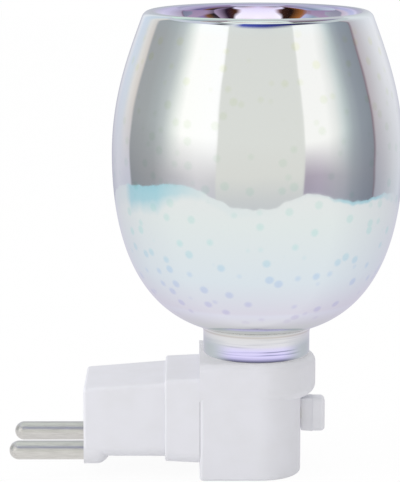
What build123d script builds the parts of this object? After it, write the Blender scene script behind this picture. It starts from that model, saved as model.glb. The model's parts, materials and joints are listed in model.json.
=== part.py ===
from build123d import *

import os
from math import cos, radians, sin, tan

# Plug-in wax melt warmer. Millimetres, +Z up, +X from the wall into the room.
# The origin lies midway between the two plug pins, on the face that meets the wall.

# Clearances that tie mating pieces together
fixed_gap = 0.15
snug_gap = 0.03
running_gap = 0.06
moving_gap = 0.3

# Plug pins
pin_diameter = 4.8
pin_length = 19.0
pin_pitch = 19.0
pin_seat_diameter = 4.0
pin_recess = 0.05
pin_tail_diameter = 2.0
rivet_diameter = 2.8
rivet_thickness = 0.6
pin_boss_wall = 1.0
pin_boss_length = 3.1

# Plug arm: a drafted block that enters the socket, and a stepped collar against the tower
block_length = 20.6
block_width = 25.6
block_drop = 1.3
block_rise = 16.7
block_draft_rise = 1.6
block_draft_side = 0.4
collar_length = 8.8
collar_step = 1.0
collar_flare = 0.35
arm_wall = 1.6
end_wall = 2.4
arm_top_round = 1.2
arm_under_round = 3.0
end_round = 0.8
collar_round = 0.6

# Glass: one blown piece of even wall
neck_bore = 23.6
glass_wall = 1.8
neck_straight = 5.5
neck_root_round = 1.5
shoulder_angle = 18.6
shoulder_pull = 13.8
belly_diameter = 73.5
belly_height = 51.0
belly_pull_down = 24.8
belly_pull_up = 13.8
lip_diameter = 58.0
lip_height = 86.1
lip_angle = 69.5
lip_pull = 12.1
lip_roll = 2.2
dish_depth = 13.5
dish_wall_angle = 75.0
dish_wall_pull = 8.5
dish_floor_pull = 14.0
foot_round = 0.8

# Tower under the glass
seat_height = 23.4
seat_margin = 1.6
ring_overhang = 0.25
ring_height = 10.4
ring_top_round = 2.2
ring_under_round = 2.6
axis_reach = 14.6
front_room = 0.9
front_corner = 10.7
back_edge_round = 1.0
tower_drop = 6.8
wall = 1.6
top_plate = 2.0

# Bottom cover and its screws
cover_thickness = 2.2
cover_round = 0.8
cover_lip = 1.2
cover_lip_height = 2.0
cover_boss_diameter = 5.2
switch_room = 0.75
cover_screw_diameter = 2.5
cover_screw_head = 4.4
cover_screw_margin = 1.6

# Snap hooks that hold the arm to the tower
hook_thickness = 1.4
hook_height = 6.0
hook_nose = 0.8
hook_nose_length = 1.8
hook_root = 3.0

# Lamp holder
holder_wall = 1.3
holder_base = 1.8
holder_ledge = 1.6
ledge_width = 1.3
mouth_wall = 1.8
spigot_rise = 6.0
spigot_round = 0.8
ear_thickness = 2.0
ear_diameter = 3.4
holder_screw_diameter = 2.2
holder_screw_head = 3.4
holder_screw_head_height = 1.2
holder_screw_length = 6.0
holder_boss_diameter = 3.5
shell_bore = 14.2
shell_sheet = 0.35
shell_height = 11.4
tail_width = 3.0
tail_length = 2.0
leaf_sheet = 0.4
leaf_reach = 4.2
leaf_tail_reach = 5.0
leaf_rise = 1.25

# Lamp
cap_diameter = 13.5
cap_sheet = 0.3
cap_height = 13.4
cap_floor_lip = 1.6
tip_diameter = 4.8
tip_height = 1.1
insulator_height = 2.2
bulb_diameter = 22.0
bulb_glass = 0.6
bulb_neck_insert = 3.5
bulb_neck_rise = 12.0
bulb_barrel = 20.5
bulb_dome = 10.5
stem_height = 13.5
stem_diameter = 4.4
stem_flare_height = 0.8
lead_diameter = 0.6
lead_foot_spread = 2.4
lead_spread = 10.0
lead_height = 12.5

# Turn switch
knob_room = 1.3
switch_width = 12.0
switch_tall = 9.4
switch_depth = 8.3
switch_front_wall = 1.5
switch_back_plate = 1.2
switch_setback = 0.5
switch_chamber = 7.6
nose_diameter = 6.8
rotor_length = 3.8
spindle_diameter = 3.0
contact_thickness = 0.8
contact_width = 1.4
contact_tail = 1.5
contact_offset = 2.8
bridge_thickness = 0.6
bridge_width = 1.6
knob_stem_length = 2.9
knob_stem_width = 4.0
knob_stem_tall = 8.3
knob_flare = 0.2
knob_cap_length = 3.2
knob_cap_width = 4.8
knob_cap_tall = 8.9
knob_round = 1.2
knob_socket_depth = 2.5

# Wires and terminals
wire_diameter = 1.6
terminal_width = 3.0
terminal_height = 8.6
terminal_sheet = 0.8
wire_height = 6.8
window_width = 15.0
window_height = 9.0
window_round = 1.5

# Places that follow from the sizes above
pin_radius = pin_diameter / 2
pin_places = (pin_pitch / 2, -pin_pitch / 2)
boss_radius = pin_radius + pin_boss_wall
block_floor = -block_drop
root_rise = block_rise + block_draft_rise
root_width = block_width + 2 * block_draft_side
tower_back = block_length + collar_length
axis_x = tower_back + axis_reach
neck_radius = neck_bore / 2 + glass_wall
ring_radius = neck_radius + seat_margin
ring_floor = seat_height - ring_height
switch_axis_height = ring_floor - knob_room - knob_cap_tall / 2
tower_half = ring_radius - ring_overhang
shell_radius = shell_bore / 2 + shell_sheet
well_radius = shell_radius + snug_gap
holder_radius = well_radius + holder_wall
tower_front = axis_x + holder_radius + front_room + wall
cover_top = cover_thickness - tower_drop
cover_boss_height = switch_axis_height - switch_tall / 2 - switch_room - cover_top
cover_screw_length = cover_thickness + cover_boss_height - cover_screw_margin
plate_under = seat_height - top_plate
spigot_radius = neck_bore / 2 - moving_gap
opening_radius = spigot_radius + fixed_gap
holder_floor = switch_axis_height + switch_tall / 2 + 2 * moving_gap
well_floor = holder_floor + holder_base
shell_floor = well_floor + holder_ledge
shell_top = shell_floor + shell_height
holder_top = seat_height + spigot_rise
ear_top = well_floor + ear_thickness
holder_boss_reach = holder_radius + fixed_gap + holder_boss_diameter / 2
tail_end = holder_floor - tail_length
shell_tail_y = -(shell_bore + shell_sheet) / 2
leaf_tail_x = axis_x - leaf_tail_reach
tip_floor = well_floor + leaf_sheet + leaf_rise + moving_gap
insulator_floor = tip_floor + tip_height
cap_floor = insulator_floor + insulator_height
cap_top = cap_floor + cap_height
cover_boss_inset = wall + cover_boss_diameter / 2 - moving_gap
cover_boss_places = [(tower_back + cover_boss_inset, 0), (tower_front - cover_boss_inset, 0)]
switch_front = tower_front - wall - switch_setback
switch_back = switch_front - switch_depth
chamber_back = switch_back + switch_back_plate
rotor_front = switch_front - switch_front_wall - moving_gap
rotor_back = rotor_front - rotor_length
rotor_radius = switch_chamber / 2 - moving_gap
contact_back = switch_back - contact_tail
contact_front = rotor_back - bridge_thickness - moving_gap
knob_back = tower_front + moving_gap
arm_cavity_half = block_width / 2 - arm_wall
arm_cavity_floor = block_floor + arm_wall
arm_cavity_top = block_rise - arm_wall
arm_middle = (arm_cavity_floor + arm_cavity_top) / 2
terminal_back = end_wall + snug_gap
terminal_front = terminal_back + terminal_sheet
wire_radius = wire_diameter / 2

lamp_axis = Axis((axis_x, 0, 0), (0, 0, 1))
lamp_plane = Plane((axis_x, 0, 0), x_dir=(1, 0, 0), z_dir=(0, -1, 0))
on_base = (Align.CENTER, Align.CENTER, Align.MIN)

os.makedirs("parts", exist_ok=True)


def shift(point, angle, length):
    """The point that lies length away from the given one, along a heading in degrees."""
    return (point[0] + length * cos(radians(angle)), point[1] + length * sin(radians(angle)))


def inset(points, depth):
    """Control points of the curve that runs depth to the left of another, given by its own."""
    first, first_pull, last_pull, last = [Vector(*p) for p in points]
    start_way = (first_pull - first).normalized()
    end_way = (last - last_pull).normalized()
    start = first + Vector(-start_way.Y, start_way.X) * depth
    end = last + Vector(-end_way.Y, end_way.X) * depth
    ratio = (end - start).length / (last - first).length
    start_pull = start + (first_pull - first) * ratio
    end_pull = end + (last_pull - last) * ratio
    return [(p.X, p.Y) for p in (start, start_pull, end_pull, end)]


def ring_plan(level, radius, back):
    """A plan that is half round about the lamp axis and square towards the wall."""
    with BuildSketch(Plane.XY.offset(level), mode=Mode.PRIVATE) as plan:
        with BuildLine():
            Polyline((axis_x, -radius), (back, -radius), (back, radius), (axis_x, radius))
            ThreePointArc((axis_x, radius), (axis_x + radius, 0), (axis_x, -radius))
        make_face()
    return plan.sketch


def tower_plan(level, depth):
    """A plan of the lower tower, drawn in by depth all round: a rectangle with large front corners."""
    back = tower_back + depth
    front = tower_front - depth
    with BuildSketch(Plane.XY.offset(level), mode=Mode.PRIVATE) as plan:
        with Locations(((back + front) / 2, 0)):
            Rectangle(front - back, 2 * (tower_half - depth))
        fillet(plan.vertices().group_by(Axis.X)[-1], radius=front_corner - depth)
        if depth == 0:
            fillet(plan.vertices().group_by(Axis.X)[0], radius=back_edge_round)
    return plan.sketch


def arm_section(x, width, bottom, top):
    """A section of the plug arm, square to X, with crisp top edges and rounder lower ones."""
    with BuildSketch(along_x(x, 0, 0), mode=Mode.PRIVATE) as outline:
        with Locations((0, (bottom + top) / 2)):
            Rectangle(width, top - bottom)
        fillet(outline.vertices().group_by(Axis.Y)[-1], radius=arm_top_round)
        fillet(outline.vertices().group_by(Axis.Y)[0], radius=arm_under_round)
    return outline.sketch


def along_x(x, y, z):
    """A plane square to X with its local axes along Y and Z, centred on a point."""
    return Plane((x, y, z), x_dir=(0, 1, 0), z_dir=(1, 0, 0))


def bend_radii(points):
    """The largest even bend at each corner of a wire's route."""
    corners = [Vector(*p) for p in points]
    radii = []
    for before, at, after in zip(corners, corners[1:], corners[2:]):
        turn = (at - before).get_angle(after - at)
        run = min((at - before).length, (after - at).length)
        radii.append(0.45 * run / tan(radians(turn) / 2))
    return radii


# Glass shade: one blown wall, named in four runs that meet across the wall's thickness,
# at the neck's root, the belly's widest line and the lip's crest
neck_end = (neck_radius, seat_height + neck_straight)
neck_centre = (neck_radius + neck_root_round, neck_end[1])
neck_middle = (270 + shoulder_angle) / 2
shoulder = shift(neck_centre, shoulder_angle + 90, neck_root_round)
belly = (belly_diameter / 2, seat_height + belly_height)
lip_start = (lip_diameter / 2, seat_height + lip_height)
lip_heading = 180 - lip_angle
lip_centre = shift(lip_start, lip_heading + 90, lip_roll)
dish_heading = 180 + dish_wall_angle
dish_start = shift(lip_centre, dish_heading - 90, lip_roll)
dish_floor = lip_centre[1] + lip_roll - dish_depth

lower_wall = [
    shoulder,
    shift(shoulder, shoulder_angle, shoulder_pull),
    (belly[0], belly[1] - belly_pull_down),
    belly,
]
upper_wall = [
    belly,
    (belly[0], belly[1] + belly_pull_up),
    shift(lip_start, lip_heading, -lip_pull),
    lip_start,
]
dish_wall = [
    dish_start,
    shift(dish_start, dish_heading, dish_wall_pull),
    (dish_floor_pull, dish_floor),
    (0, dish_floor),
]
lower_inside = inset(lower_wall, glass_wall)
upper_inside = inset(upper_wall, glass_wall)
dish_inside = inset(dish_wall, glass_wall)
neck_inside = (neck_bore / 2, neck_end[1])

lip_crest = shift(lip_centre, 90, lip_roll)
inner_crest = shift(lip_centre, 90, lip_roll - glass_wall)
outer_turn = lip_heading / 2
inner_turn = dish_heading / 2

with BuildPart() as glass_neck:
    with BuildSketch(lamp_plane):
        with BuildLine():
            Line((neck_radius, seat_height), neck_end)
            ThreePointArc(neck_end, shift(neck_centre, neck_middle, neck_root_round), shoulder)
            Line(shoulder, lower_inside[0])
            inner_neck = shift(neck_centre, neck_middle, neck_root_round + glass_wall)
            ThreePointArc(lower_inside[0], inner_neck, neck_inside)
            Polyline(neck_inside, (neck_bore / 2, seat_height), (neck_radius, seat_height))
        make_face()
    revolve(axis=lamp_axis)
    fillet(glass_neck.edges().group_by(Axis.Z)[0], radius=foot_round)
glass_neck.part.label = "glass_neck"
export_step(glass_neck.part, "parts/glass_neck.step")

# Bowl of the globe, from the neck's root up to the belly
with BuildPart() as glass_bowl:
    with BuildSketch(lamp_plane):
        with BuildLine():
            Bezier(*lower_wall)
            Line(lower_wall[-1], lower_inside[-1])
            Bezier(*lower_inside)
            Line(lower_inside[0], lower_wall[0])
        make_face()
    revolve(axis=lamp_axis)
glass_bowl.part.label = "glass_bowl"
export_step(glass_bowl.part, "parts/glass_bowl.step")

# Upper wall of the globe, from the belly up to the outer half of the rolled lip
with BuildPart() as glass_globe:
    with BuildSketch(lamp_plane):
        with BuildLine():
            Bezier(*upper_wall)
            ThreePointArc(lip_start, shift(lip_centre, outer_turn, lip_roll), lip_crest)
            Line(lip_crest, inner_crest)
            inner_lip = shift(lip_centre, outer_turn, lip_roll - glass_wall)
            ThreePointArc(inner_crest, inner_lip, upper_inside[-1])
            Bezier(*upper_inside)
            Line(upper_inside[0], upper_wall[0])
        make_face()
    revolve(axis=lamp_axis)
glass_globe.part.label = "glass_globe"
export_step(glass_globe.part, "parts/glass_globe.step")

# Wax dish: the same glass, turned over the lip and down into the globe
with BuildPart() as glass_dish:
    with BuildSketch(lamp_plane):
        with BuildLine():
            ThreePointArc(lip_crest, shift(lip_centre, inner_turn, lip_roll), dish_start)
            Bezier(*dish_wall)
            Line(dish_wall[-1], dish_inside[-1])
            Bezier(*dish_inside)
            dish_lip = shift(lip_centre, inner_turn, lip_roll - glass_wall)
            ThreePointArc(dish_inside[0], dish_lip, inner_crest)
            Line(inner_crest, lip_crest)
        make_face()
    revolve(axis=lamp_axis)
glass_dish.part.label = "glass_dish"
export_step(glass_dish.part, "parts/glass_dish.step")

# Tower housing: a round collar over a body with a flatter front, open below
with BuildPart() as tower_housing:
    extrude(ring_plan(ring_floor, ring_radius, tower_back), amount=ring_height)
    ring_top = tower_housing.faces().sort_by(Axis.Z)[-1]
    fillet(ring_top.edges().sort_by(Axis.X)[1:], radius=ring_top_round)
    ring_under = tower_housing.faces().sort_by(Axis.Z)[0]
    fillet(ring_under.edges().sort_by(Axis.X)[1:], radius=ring_under_round)
    extrude(tower_plan(cover_top, 0), amount=ring_floor + ring_height / 2 - cover_top)
    # The hollow of the lower body, then the wider one inside the collar
    extrude(tower_plan(cover_top, wall), amount=plate_under - cover_top, mode=Mode.SUBTRACT)
    extrude(
        ring_plan(ring_floor + wall, ring_radius - wall, tower_back + wall),
        amount=plate_under - ring_floor - wall,
        mode=Mode.SUBTRACT,
    )
    # Screw bosses under the top plate, each webbed to the collar wall
    web_end = ring_radius - wall / 2
    boss_height = plate_under - ear_top
    for side in (1, -1):
        with Locations((axis_x, side * holder_boss_reach, ear_top)):
            Cylinder(holder_boss_diameter / 2, boss_height, align=on_base)
        with Locations((axis_x, side * (holder_boss_reach + web_end) / 2, ear_top)):
            Box(holder_boss_diameter / 2, web_end - holder_boss_reach, boss_height, align=on_base)
    with BuildSketch(Plane.XY.offset(ear_top)):
        with Locations((axis_x, holder_boss_reach), (axis_x, -holder_boss_reach)):
            Circle(holder_screw_diameter / 2 + snug_gap)
    extrude(amount=holder_screw_length - ear_thickness + moving_gap, mode=Mode.SUBTRACT)
    # Round opening for the lamp holder
    with BuildSketch(Plane.XY.offset(plate_under)):
        with Locations((axis_x, 0)):
            Circle(opening_radius)
    extrude(amount=top_plate, mode=Mode.SUBTRACT)
    # Bosses for the cover screws
    with BuildSketch(Plane.XY.offset(cover_top)):
        with Locations(*cover_boss_places):
            Circle(cover_boss_diameter / 2)
    extrude(amount=cover_boss_height)
    with BuildSketch(Plane.XY.offset(cover_top)):
        with Locations(*cover_boss_places):
            Circle(cover_screw_diameter / 2 + snug_gap)
    extrude(amount=cover_screw_length - cover_thickness + moving_gap, mode=Mode.SUBTRACT)
    # Window for the wires and slots for the arm's hooks, through the back wall
    with BuildSketch(along_x(tower_back, 0, arm_middle)):
        RectangleRounded(window_width, window_height, window_round)
        slot_y = arm_cavity_half + hook_nose / 2
        with Locations((slot_y, 0), (-slot_y, 0)):
            Rectangle(hook_thickness + hook_nose + 2 * fixed_gap, hook_height + 2 * fixed_gap)
    extrude(amount=wall, mode=Mode.SUBTRACT)
    # Hole for the switch nose in the front wall
    with BuildSketch(along_x(switch_front, 0, switch_axis_height)):
        Circle(nose_diameter / 2 + fixed_gap)
    extrude(amount=2 * wall, mode=Mode.SUBTRACT)
tower_housing.part.label = "tower_housing"
export_step(tower_housing.part, "parts/tower_housing.step")

# Bottom cover: a flush plate with a locating lip and a pedestal under the switch
with BuildPart() as bottom_cover:
    extrude(tower_plan(-tower_drop, 0), amount=cover_thickness)
    fillet(bottom_cover.faces().sort_by(Axis.Z)[0].edges(), radius=cover_round)
    extrude(tower_plan(cover_top, wall + fixed_gap), amount=cover_lip_height)
    lip_core = tower_plan(cover_top, wall + fixed_gap + cover_lip)
    extrude(lip_core, amount=cover_lip_height, mode=Mode.SUBTRACT)
    pedestal_front = cover_boss_places[1][0] - cover_boss_diameter / 2 - moving_gap
    pedestal_height = switch_axis_height - switch_tall / 2 - cover_top
    with Locations(((switch_back + pedestal_front) / 2, 0, cover_top)):
        Box(pedestal_front - switch_back, switch_width / 2, pedestal_height, align=on_base)
    with BuildSketch(Plane.XY.offset(cover_top)):
        with Locations(*cover_boss_places):
            Circle(cover_boss_diameter / 2 + fixed_gap)
    extrude(amount=cover_lip_height, mode=Mode.SUBTRACT)
    with Locations(Plane((0, 0, -tower_drop), x_dir=(1, 0, 0), z_dir=(0, 0, -1))):
        with Locations(*cover_boss_places):
            CounterSinkHole(
                cover_screw_diameter / 2 + fixed_gap,
                counter_sink_radius=cover_screw_head / 2 + fixed_gap,
                depth=cover_thickness,
                counter_sink_angle=90,
            )
bottom_cover.part.label = "bottom_cover"
export_step(bottom_cover.part, "parts/bottom_cover.step")

# Cover screws: countersunk heads flush with the cover
with BuildPart() as cover_screws:
    head_depth = (cover_screw_head - cover_screw_diameter) / 2
    with Locations(*[(x, y, -tower_drop) for x, y in cover_boss_places]):
        Cone(cover_screw_head / 2, cover_screw_diameter / 2, head_depth, align=on_base)
        Cylinder(cover_screw_diameter / 2, cover_screw_length, align=on_base)
cover_screws.part.label = "cover_screws"
export_step(cover_screws.part, "parts/cover_screws.step")

# Plug arm: drafted block, stepped collar, pin bosses and snap hooks, hollow from the tower's side
collar_start = [root_width + 2 * collar_step, block_floor - collar_step, root_rise + collar_step]
collar_end = [
    collar_start[0] + 2 * collar_flare,
    collar_start[1] - collar_flare,
    collar_start[2] + collar_flare,
]
trough_radius = terminal_width / 2 + moving_gap
trough_length = terminal_sheet + rivet_thickness + moving_gap

with BuildPart() as plug_housing:
    loft(
        sections=[
            arm_section(block_length, *collar_start),
            arm_section(tower_back, *collar_end),
        ]
    )
    fillet(plug_housing.faces().sort_by(Axis.X)[0].edges(), radius=collar_round)
    loft(
        sections=[
            arm_section(0, block_width, block_floor, block_rise),
            arm_section(block_length + collar_round, root_width, block_floor, root_rise),
        ]
    )
    fillet(plug_housing.faces().sort_by(Axis.X)[0].edges(), radius=end_round)
    # Half-round bosses that back the pins where they stand below the block
    for y in pin_places:
        with BuildSketch(Plane.XY):
            with BuildLine():
                rim = Polyline((0, y), (0, y + boss_radius), (pin_boss_length, y + boss_radius))
                nose = (pin_boss_length + boss_radius, y)
                middle = shift((pin_boss_length, y), 45, boss_radius)
                ThreePointArc(rim @ 1, middle, nose)
                Line(nose, (0, y))
            make_face()
        revolve(axis=Axis((0, y, 0), (1, 0, 0)))
    with BuildSketch(along_x(end_wall, 0, arm_middle)):
        RectangleRounded(2 * arm_cavity_half, arm_cavity_top - arm_cavity_floor, window_round)
    extrude(amount=tower_back - end_wall, mode=Mode.SUBTRACT)
    for y in pin_places:
        with BuildSketch(along_x(end_wall, y, 0)):
            Circle(trough_radius)
        extrude(amount=trough_length, mode=Mode.SUBTRACT)
        # A shallow recess takes the pin's shoulder, and its seat runs on through the end wall
        with BuildSketch(along_x(0, y, 0)):
            Circle(pin_radius + snug_gap)
        extrude(amount=pin_recess, mode=Mode.SUBTRACT)
        with BuildSketch(along_x(0, y, 0)):
            Circle(pin_seat_diameter / 2 + snug_gap)
        extrude(amount=end_wall, mode=Mode.SUBTRACT)
    # Snap hooks through the tower's back wall
    hook_reach = wall + fixed_gap + hook_nose_length
    for side in (1, -1):
        with Locations((tower_back + (hook_reach - hook_root) / 2, side * arm_cavity_half, arm_middle)):
            Box(hook_reach + hook_root, hook_thickness, hook_height)
        nose_y = side * (arm_cavity_half - hook_thickness / 2 - hook_nose / 2)
        with Locations((tower_back + hook_reach - hook_nose_length / 2, nose_y, arm_middle)):
            Box(hook_nose_length, hook_nose, hook_height)
plug_housing.part.label = "plug_housing"
export_step(plug_housing.part, "parts/plug_housing.step")

# Plug pins: turned, round tips, shouldered on the end wall, with a riveted tail inside the arm
for name, y in zip(("line_pin", "neutral_pin"), pin_places):
    rivet_front = terminal_front + rivet_thickness
    with BuildPart() as plug_pin:
        with BuildSketch(Plane.XY):
            with BuildLine():
                tip = (-pin_length, y)
                tip_end = (pin_radius - pin_length, y + pin_radius)
                ThreePointArc(tip, shift((pin_radius - pin_length, y), 135, pin_radius), tip_end)
                Polyline(
                    tip_end,
                    (pin_recess, y + pin_radius),
                    (pin_recess, y + pin_seat_diameter / 2),
                    (end_wall, y + pin_seat_diameter / 2),
                    (end_wall, y + pin_tail_diameter / 2),
                    (terminal_front, y + pin_tail_diameter / 2),
                    (terminal_front, y + rivet_diameter / 2),
                    (rivet_front, y + rivet_diameter / 2),
                    (rivet_front, y),
                    tip,
                )
            make_face()
        revolve(axis=Axis((0, y, 0), (1, 0, 0)))
    plug_pin.part.label = name
    export_step(plug_pin.part, f"parts/{name}.step")

# Terminal strips on the pins' tails
for name, y in zip(("line_terminal", "neutral_terminal"), pin_places):
    with BuildPart() as terminal:
        with BuildSketch(along_x(terminal_back, y, 0)):
            Circle(terminal_width / 2)
            with Locations((0, terminal_height / 2)):
                Rectangle(terminal_width, terminal_height)
            Circle(pin_tail_diameter / 2 + snug_gap, mode=Mode.SUBTRACT)
        extrude(amount=terminal_sheet)
    terminal.part.label = name
    export_step(terminal.part, f"parts/{name}.step")

# Lamp holder: an insulating cup whose ring stands up inside the glass neck
with BuildPart() as lamp_holder:
    with BuildSketch(lamp_plane):
        with BuildLine():
            Polyline(
                (0, holder_floor),
                (holder_radius, holder_floor),
                (holder_radius, plate_under + fixed_gap),
                (spigot_radius, plate_under + fixed_gap),
                (spigot_radius, holder_top),
                (spigot_radius - mouth_wall, holder_top),
                (well_radius, shell_top),
                (well_radius, shell_floor),
                (well_radius - ledge_width, shell_floor),
                (well_radius - ledge_width, well_floor),
                (0, well_floor),
                close=True,
            )
        make_face()
    revolve(axis=lamp_axis)
    mouth_edges = lamp_holder.edges().filter_by(GeomType.CIRCLE).group_by(Axis.Z)[-1]
    fillet(mouth_edges.sort_by(SortBy.RADIUS)[-1], radius=spigot_round)
    ear_root = (well_radius + holder_radius) / 2
    with BuildSketch(Plane.XY.offset(well_floor)):
        for side in (1, -1):
            with Locations((axis_x, side * (ear_root + holder_boss_reach) / 2)):
                Rectangle(ear_diameter, holder_boss_reach - ear_root)
            with Locations((axis_x, side * holder_boss_reach)):
                Circle(ear_diameter / 2)
                Circle(holder_screw_diameter / 2 + fixed_gap, mode=Mode.SUBTRACT)
    extrude(amount=ear_thickness)
    # Slots for the tails of the leaf contact and of the screw shell
    with BuildSketch(Plane.XY.offset(holder_floor)):
        with Locations((leaf_tail_x, 0)):
            Rectangle(leaf_sheet + 2 * fixed_gap, tail_width + 2 * fixed_gap)
    extrude(amount=holder_base, mode=Mode.SUBTRACT)
    with BuildSketch(Plane.XY.offset(holder_floor)):
        with Locations((axis_x, shell_tail_y)):
            Rectangle(tail_width + 2 * fixed_gap, shell_sheet + 2 * fixed_gap)
    extrude(amount=shell_floor - holder_floor + shell_sheet + fixed_gap, mode=Mode.SUBTRACT)
lamp_holder.part.label = "lamp_holder"
export_step(lamp_holder.part, "parts/lamp_holder.step")

# Holder screws: pan heads under the ears
with BuildPart() as holder_screws:
    for side in (1, -1):
        with Locations((axis_x, side * holder_boss_reach, well_floor - holder_screw_head_height)):
            Cylinder(holder_screw_head / 2, holder_screw_head_height, align=on_base)
        with Locations((axis_x, side * holder_boss_reach, well_floor)):
            Cylinder(holder_screw_diameter / 2, holder_screw_length, align=on_base)
    fillet(holder_screws.faces().group_by(Axis.Z)[0].edges(), radius=holder_screw_head_height / 3)
holder_screws.part.label = "holder_screws"
export_step(holder_screws.part, "parts/holder_screws.step")

# Screw shell of the holder, with its solder tail
with BuildPart() as screw_shell:
    with BuildSketch(Plane.XY.offset(shell_floor)):
        with Locations((axis_x, 0)):
            Circle(shell_radius)
            Circle(shell_bore / 2, mode=Mode.SUBTRACT)
    extrude(amount=shell_height)
    with Locations((axis_x, shell_tail_y, tail_end)):
        Box(tail_width, shell_sheet, shell_floor + shell_sheet - tail_end, align=on_base)
screw_shell.part.label = "screw_shell"
export_step(screw_shell.part, "parts/screw_shell.step")

# Leaf contact under the lamp's tip: a strip folded back on itself, with its solder tail
with BuildPart() as centre_contact:
    leaf_floor = well_floor + leaf_sheet / 2
    leaf_crest = leaf_floor + leaf_rise
    with BuildSketch(lamp_plane):
        with BuildLine():
            Polyline(
                (-leaf_tail_reach, tail_end),
                (-leaf_tail_reach, leaf_floor),
                (leaf_reach, leaf_floor),
                (leaf_reach, leaf_floor + leaf_rise / 2),
                (0, leaf_crest),
                (-leaf_reach / 2, leaf_floor + 0.7 * leaf_rise),
            )
        trace(line_width=leaf_sheet)
    extrude(amount=tail_width / 2, both=True)
centre_contact.part.label = "centre_contact"
export_step(centre_contact.part, "parts/centre_contact.step")

# Lamp: solder tip, insulator, cap, blown envelope, stem, leads and filament
with BuildPart() as bulb_tip_contact:
    with Locations((axis_x, 0, tip_floor)):
        Cylinder(tip_diameter / 2, tip_height - snug_gap, align=on_base)
    fillet(bulb_tip_contact.edges().group_by(Axis.Z)[0], radius=0.8 * tip_height)
bulb_tip_contact.part.label = "bulb_tip_contact"
export_step(bulb_tip_contact.part, "parts/bulb_tip_contact.step")

cap_inner = cap_diameter / 2 - cap_sheet
with BuildPart() as bulb_insulator:
    with Locations((axis_x, 0, insulator_floor)):
        Cone(tip_diameter / 2 + cap_sheet, cap_inner, insulator_height, align=on_base)
bulb_insulator.part.label = "bulb_insulator"
export_step(bulb_insulator.part, "parts/bulb_insulator.step")

with BuildPart() as bulb_cap:
    with Locations((axis_x, 0, cap_floor)):
        Cylinder(cap_diameter / 2, cap_height, align=on_base)
        Cylinder(cap_inner - cap_floor_lip, cap_sheet, align=on_base, mode=Mode.SUBTRACT)
    with Locations((axis_x, 0, cap_floor + cap_sheet)):
        Cylinder(cap_inner, cap_height - cap_sheet, align=on_base, mode=Mode.SUBTRACT)
bulb_cap.part.label = "bulb_cap"
export_step(bulb_cap.part, "parts/bulb_cap.step")

bulb_radius = bulb_diameter / 2
bulb_neck = cap_inner - fixed_gap
bulb_neck_foot = cap_top - bulb_neck_insert
barrel_floor = cap_top + bulb_neck_rise
barrel_top = barrel_floor + bulb_barrel
bulb_top = barrel_top + bulb_dome
quarter = 4 / 3 * tan(radians(90) / 4)
bulb_flare = [
    (bulb_neck, cap_top),
    (bulb_neck, cap_top + bulb_neck_rise / 2),
    (bulb_radius, barrel_floor - bulb_neck_rise / 2),
    (bulb_radius, barrel_floor),
]
bulb_crown = [
    (bulb_radius, barrel_top),
    (bulb_radius, barrel_top + quarter * bulb_dome),
    (quarter * bulb_radius, bulb_top),
    (0, bulb_top),
]
flare_inside = inset(bulb_flare, bulb_glass)
crown_inside = inset(bulb_crown, bulb_glass)
with BuildPart() as bulb_envelope:
    with BuildSketch(lamp_plane):
        with BuildLine():
            Line((bulb_neck, bulb_neck_foot), bulb_flare[0])
            Bezier(*bulb_flare)
            Line(bulb_flare[-1], bulb_crown[0])
            Bezier(*bulb_crown)
            Line(bulb_crown[-1], crown_inside[-1])
            Bezier(*crown_inside)
            Line(crown_inside[0], flare_inside[-1])
            Bezier(*flare_inside)
            Polyline(flare_inside[0], (flare_inside[0][0], bulb_neck_foot), (bulb_neck, bulb_neck_foot))
        make_face()
    revolve(axis=lamp_axis)
bulb_envelope.part.label = "bulb_envelope"
export_step(bulb_envelope.part, "parts/bulb_envelope.step")

stem_foot = bulb_neck_foot + fixed_gap
stem_top = stem_foot + stem_height
with BuildPart() as bulb_stem:
    flare_radius = bulb_neck - bulb_glass - fixed_gap
    with BuildSketch(lamp_plane):
        with BuildLine():
            Polyline(
                (0, stem_foot),
                (flare_radius, stem_foot),
                (flare_radius, stem_foot + stem_flare_height),
                (stem_diameter / 3, stem_foot + stem_height / 4),
                (stem_diameter / 3, stem_foot + 0.7 * stem_height),
                (stem_diameter / 2, stem_top),
                (0, stem_top),
                close=True,
            )
        make_face()
    revolve(axis=lamp_axis)
bulb_stem.part.label = "bulb_stem"
export_step(bulb_stem.part, "parts/bulb_stem.step")

lead_top = stem_top + lead_height
with BuildPart() as bulb_leads:
    for side in (1, -1):
        lead_points = [
            (axis_x + side * lead_foot_spread / 2, 0, stem_top),
            (axis_x + side * lead_foot_spread / 2, 0, stem_top + lead_height / 4),
            (axis_x + side * lead_spread / 2, 0, lead_top - lead_height / 4),
            (axis_x + side * lead_spread / 2, 0, lead_top),
        ]
        with BuildLine() as lead_route:
            FilletPolyline(*lead_points, radius=bend_radii(lead_points))
        with BuildSketch(Plane(lead_points[0], z_dir=(0, 0, 1))):
            Circle(lead_diameter / 2)
        sweep(path=lead_route.line)
bulb_leads.part.label = "bulb_leads"
export_step(bulb_leads.part, "parts/bulb_leads.step")

with BuildPart() as bulb_filament:
    with BuildLine() as filament_route:
        ThreePointArc(
            (axis_x - lead_spread / 2, 0, lead_top),
            (axis_x, 0, lead_top + lead_spread / 2),
            (axis_x + lead_spread / 2, 0, lead_top),
        )
    with BuildSketch(Plane((axis_x - lead_spread / 2, 0, lead_top), z_dir=(0, 0, 1))):
        Circle(lead_diameter / 2)
    sweep(path=filament_route.line)
bulb_filament.part.label = "bulb_filament"
export_step(bulb_filament.part, "parts/bulb_filament.step")

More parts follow.
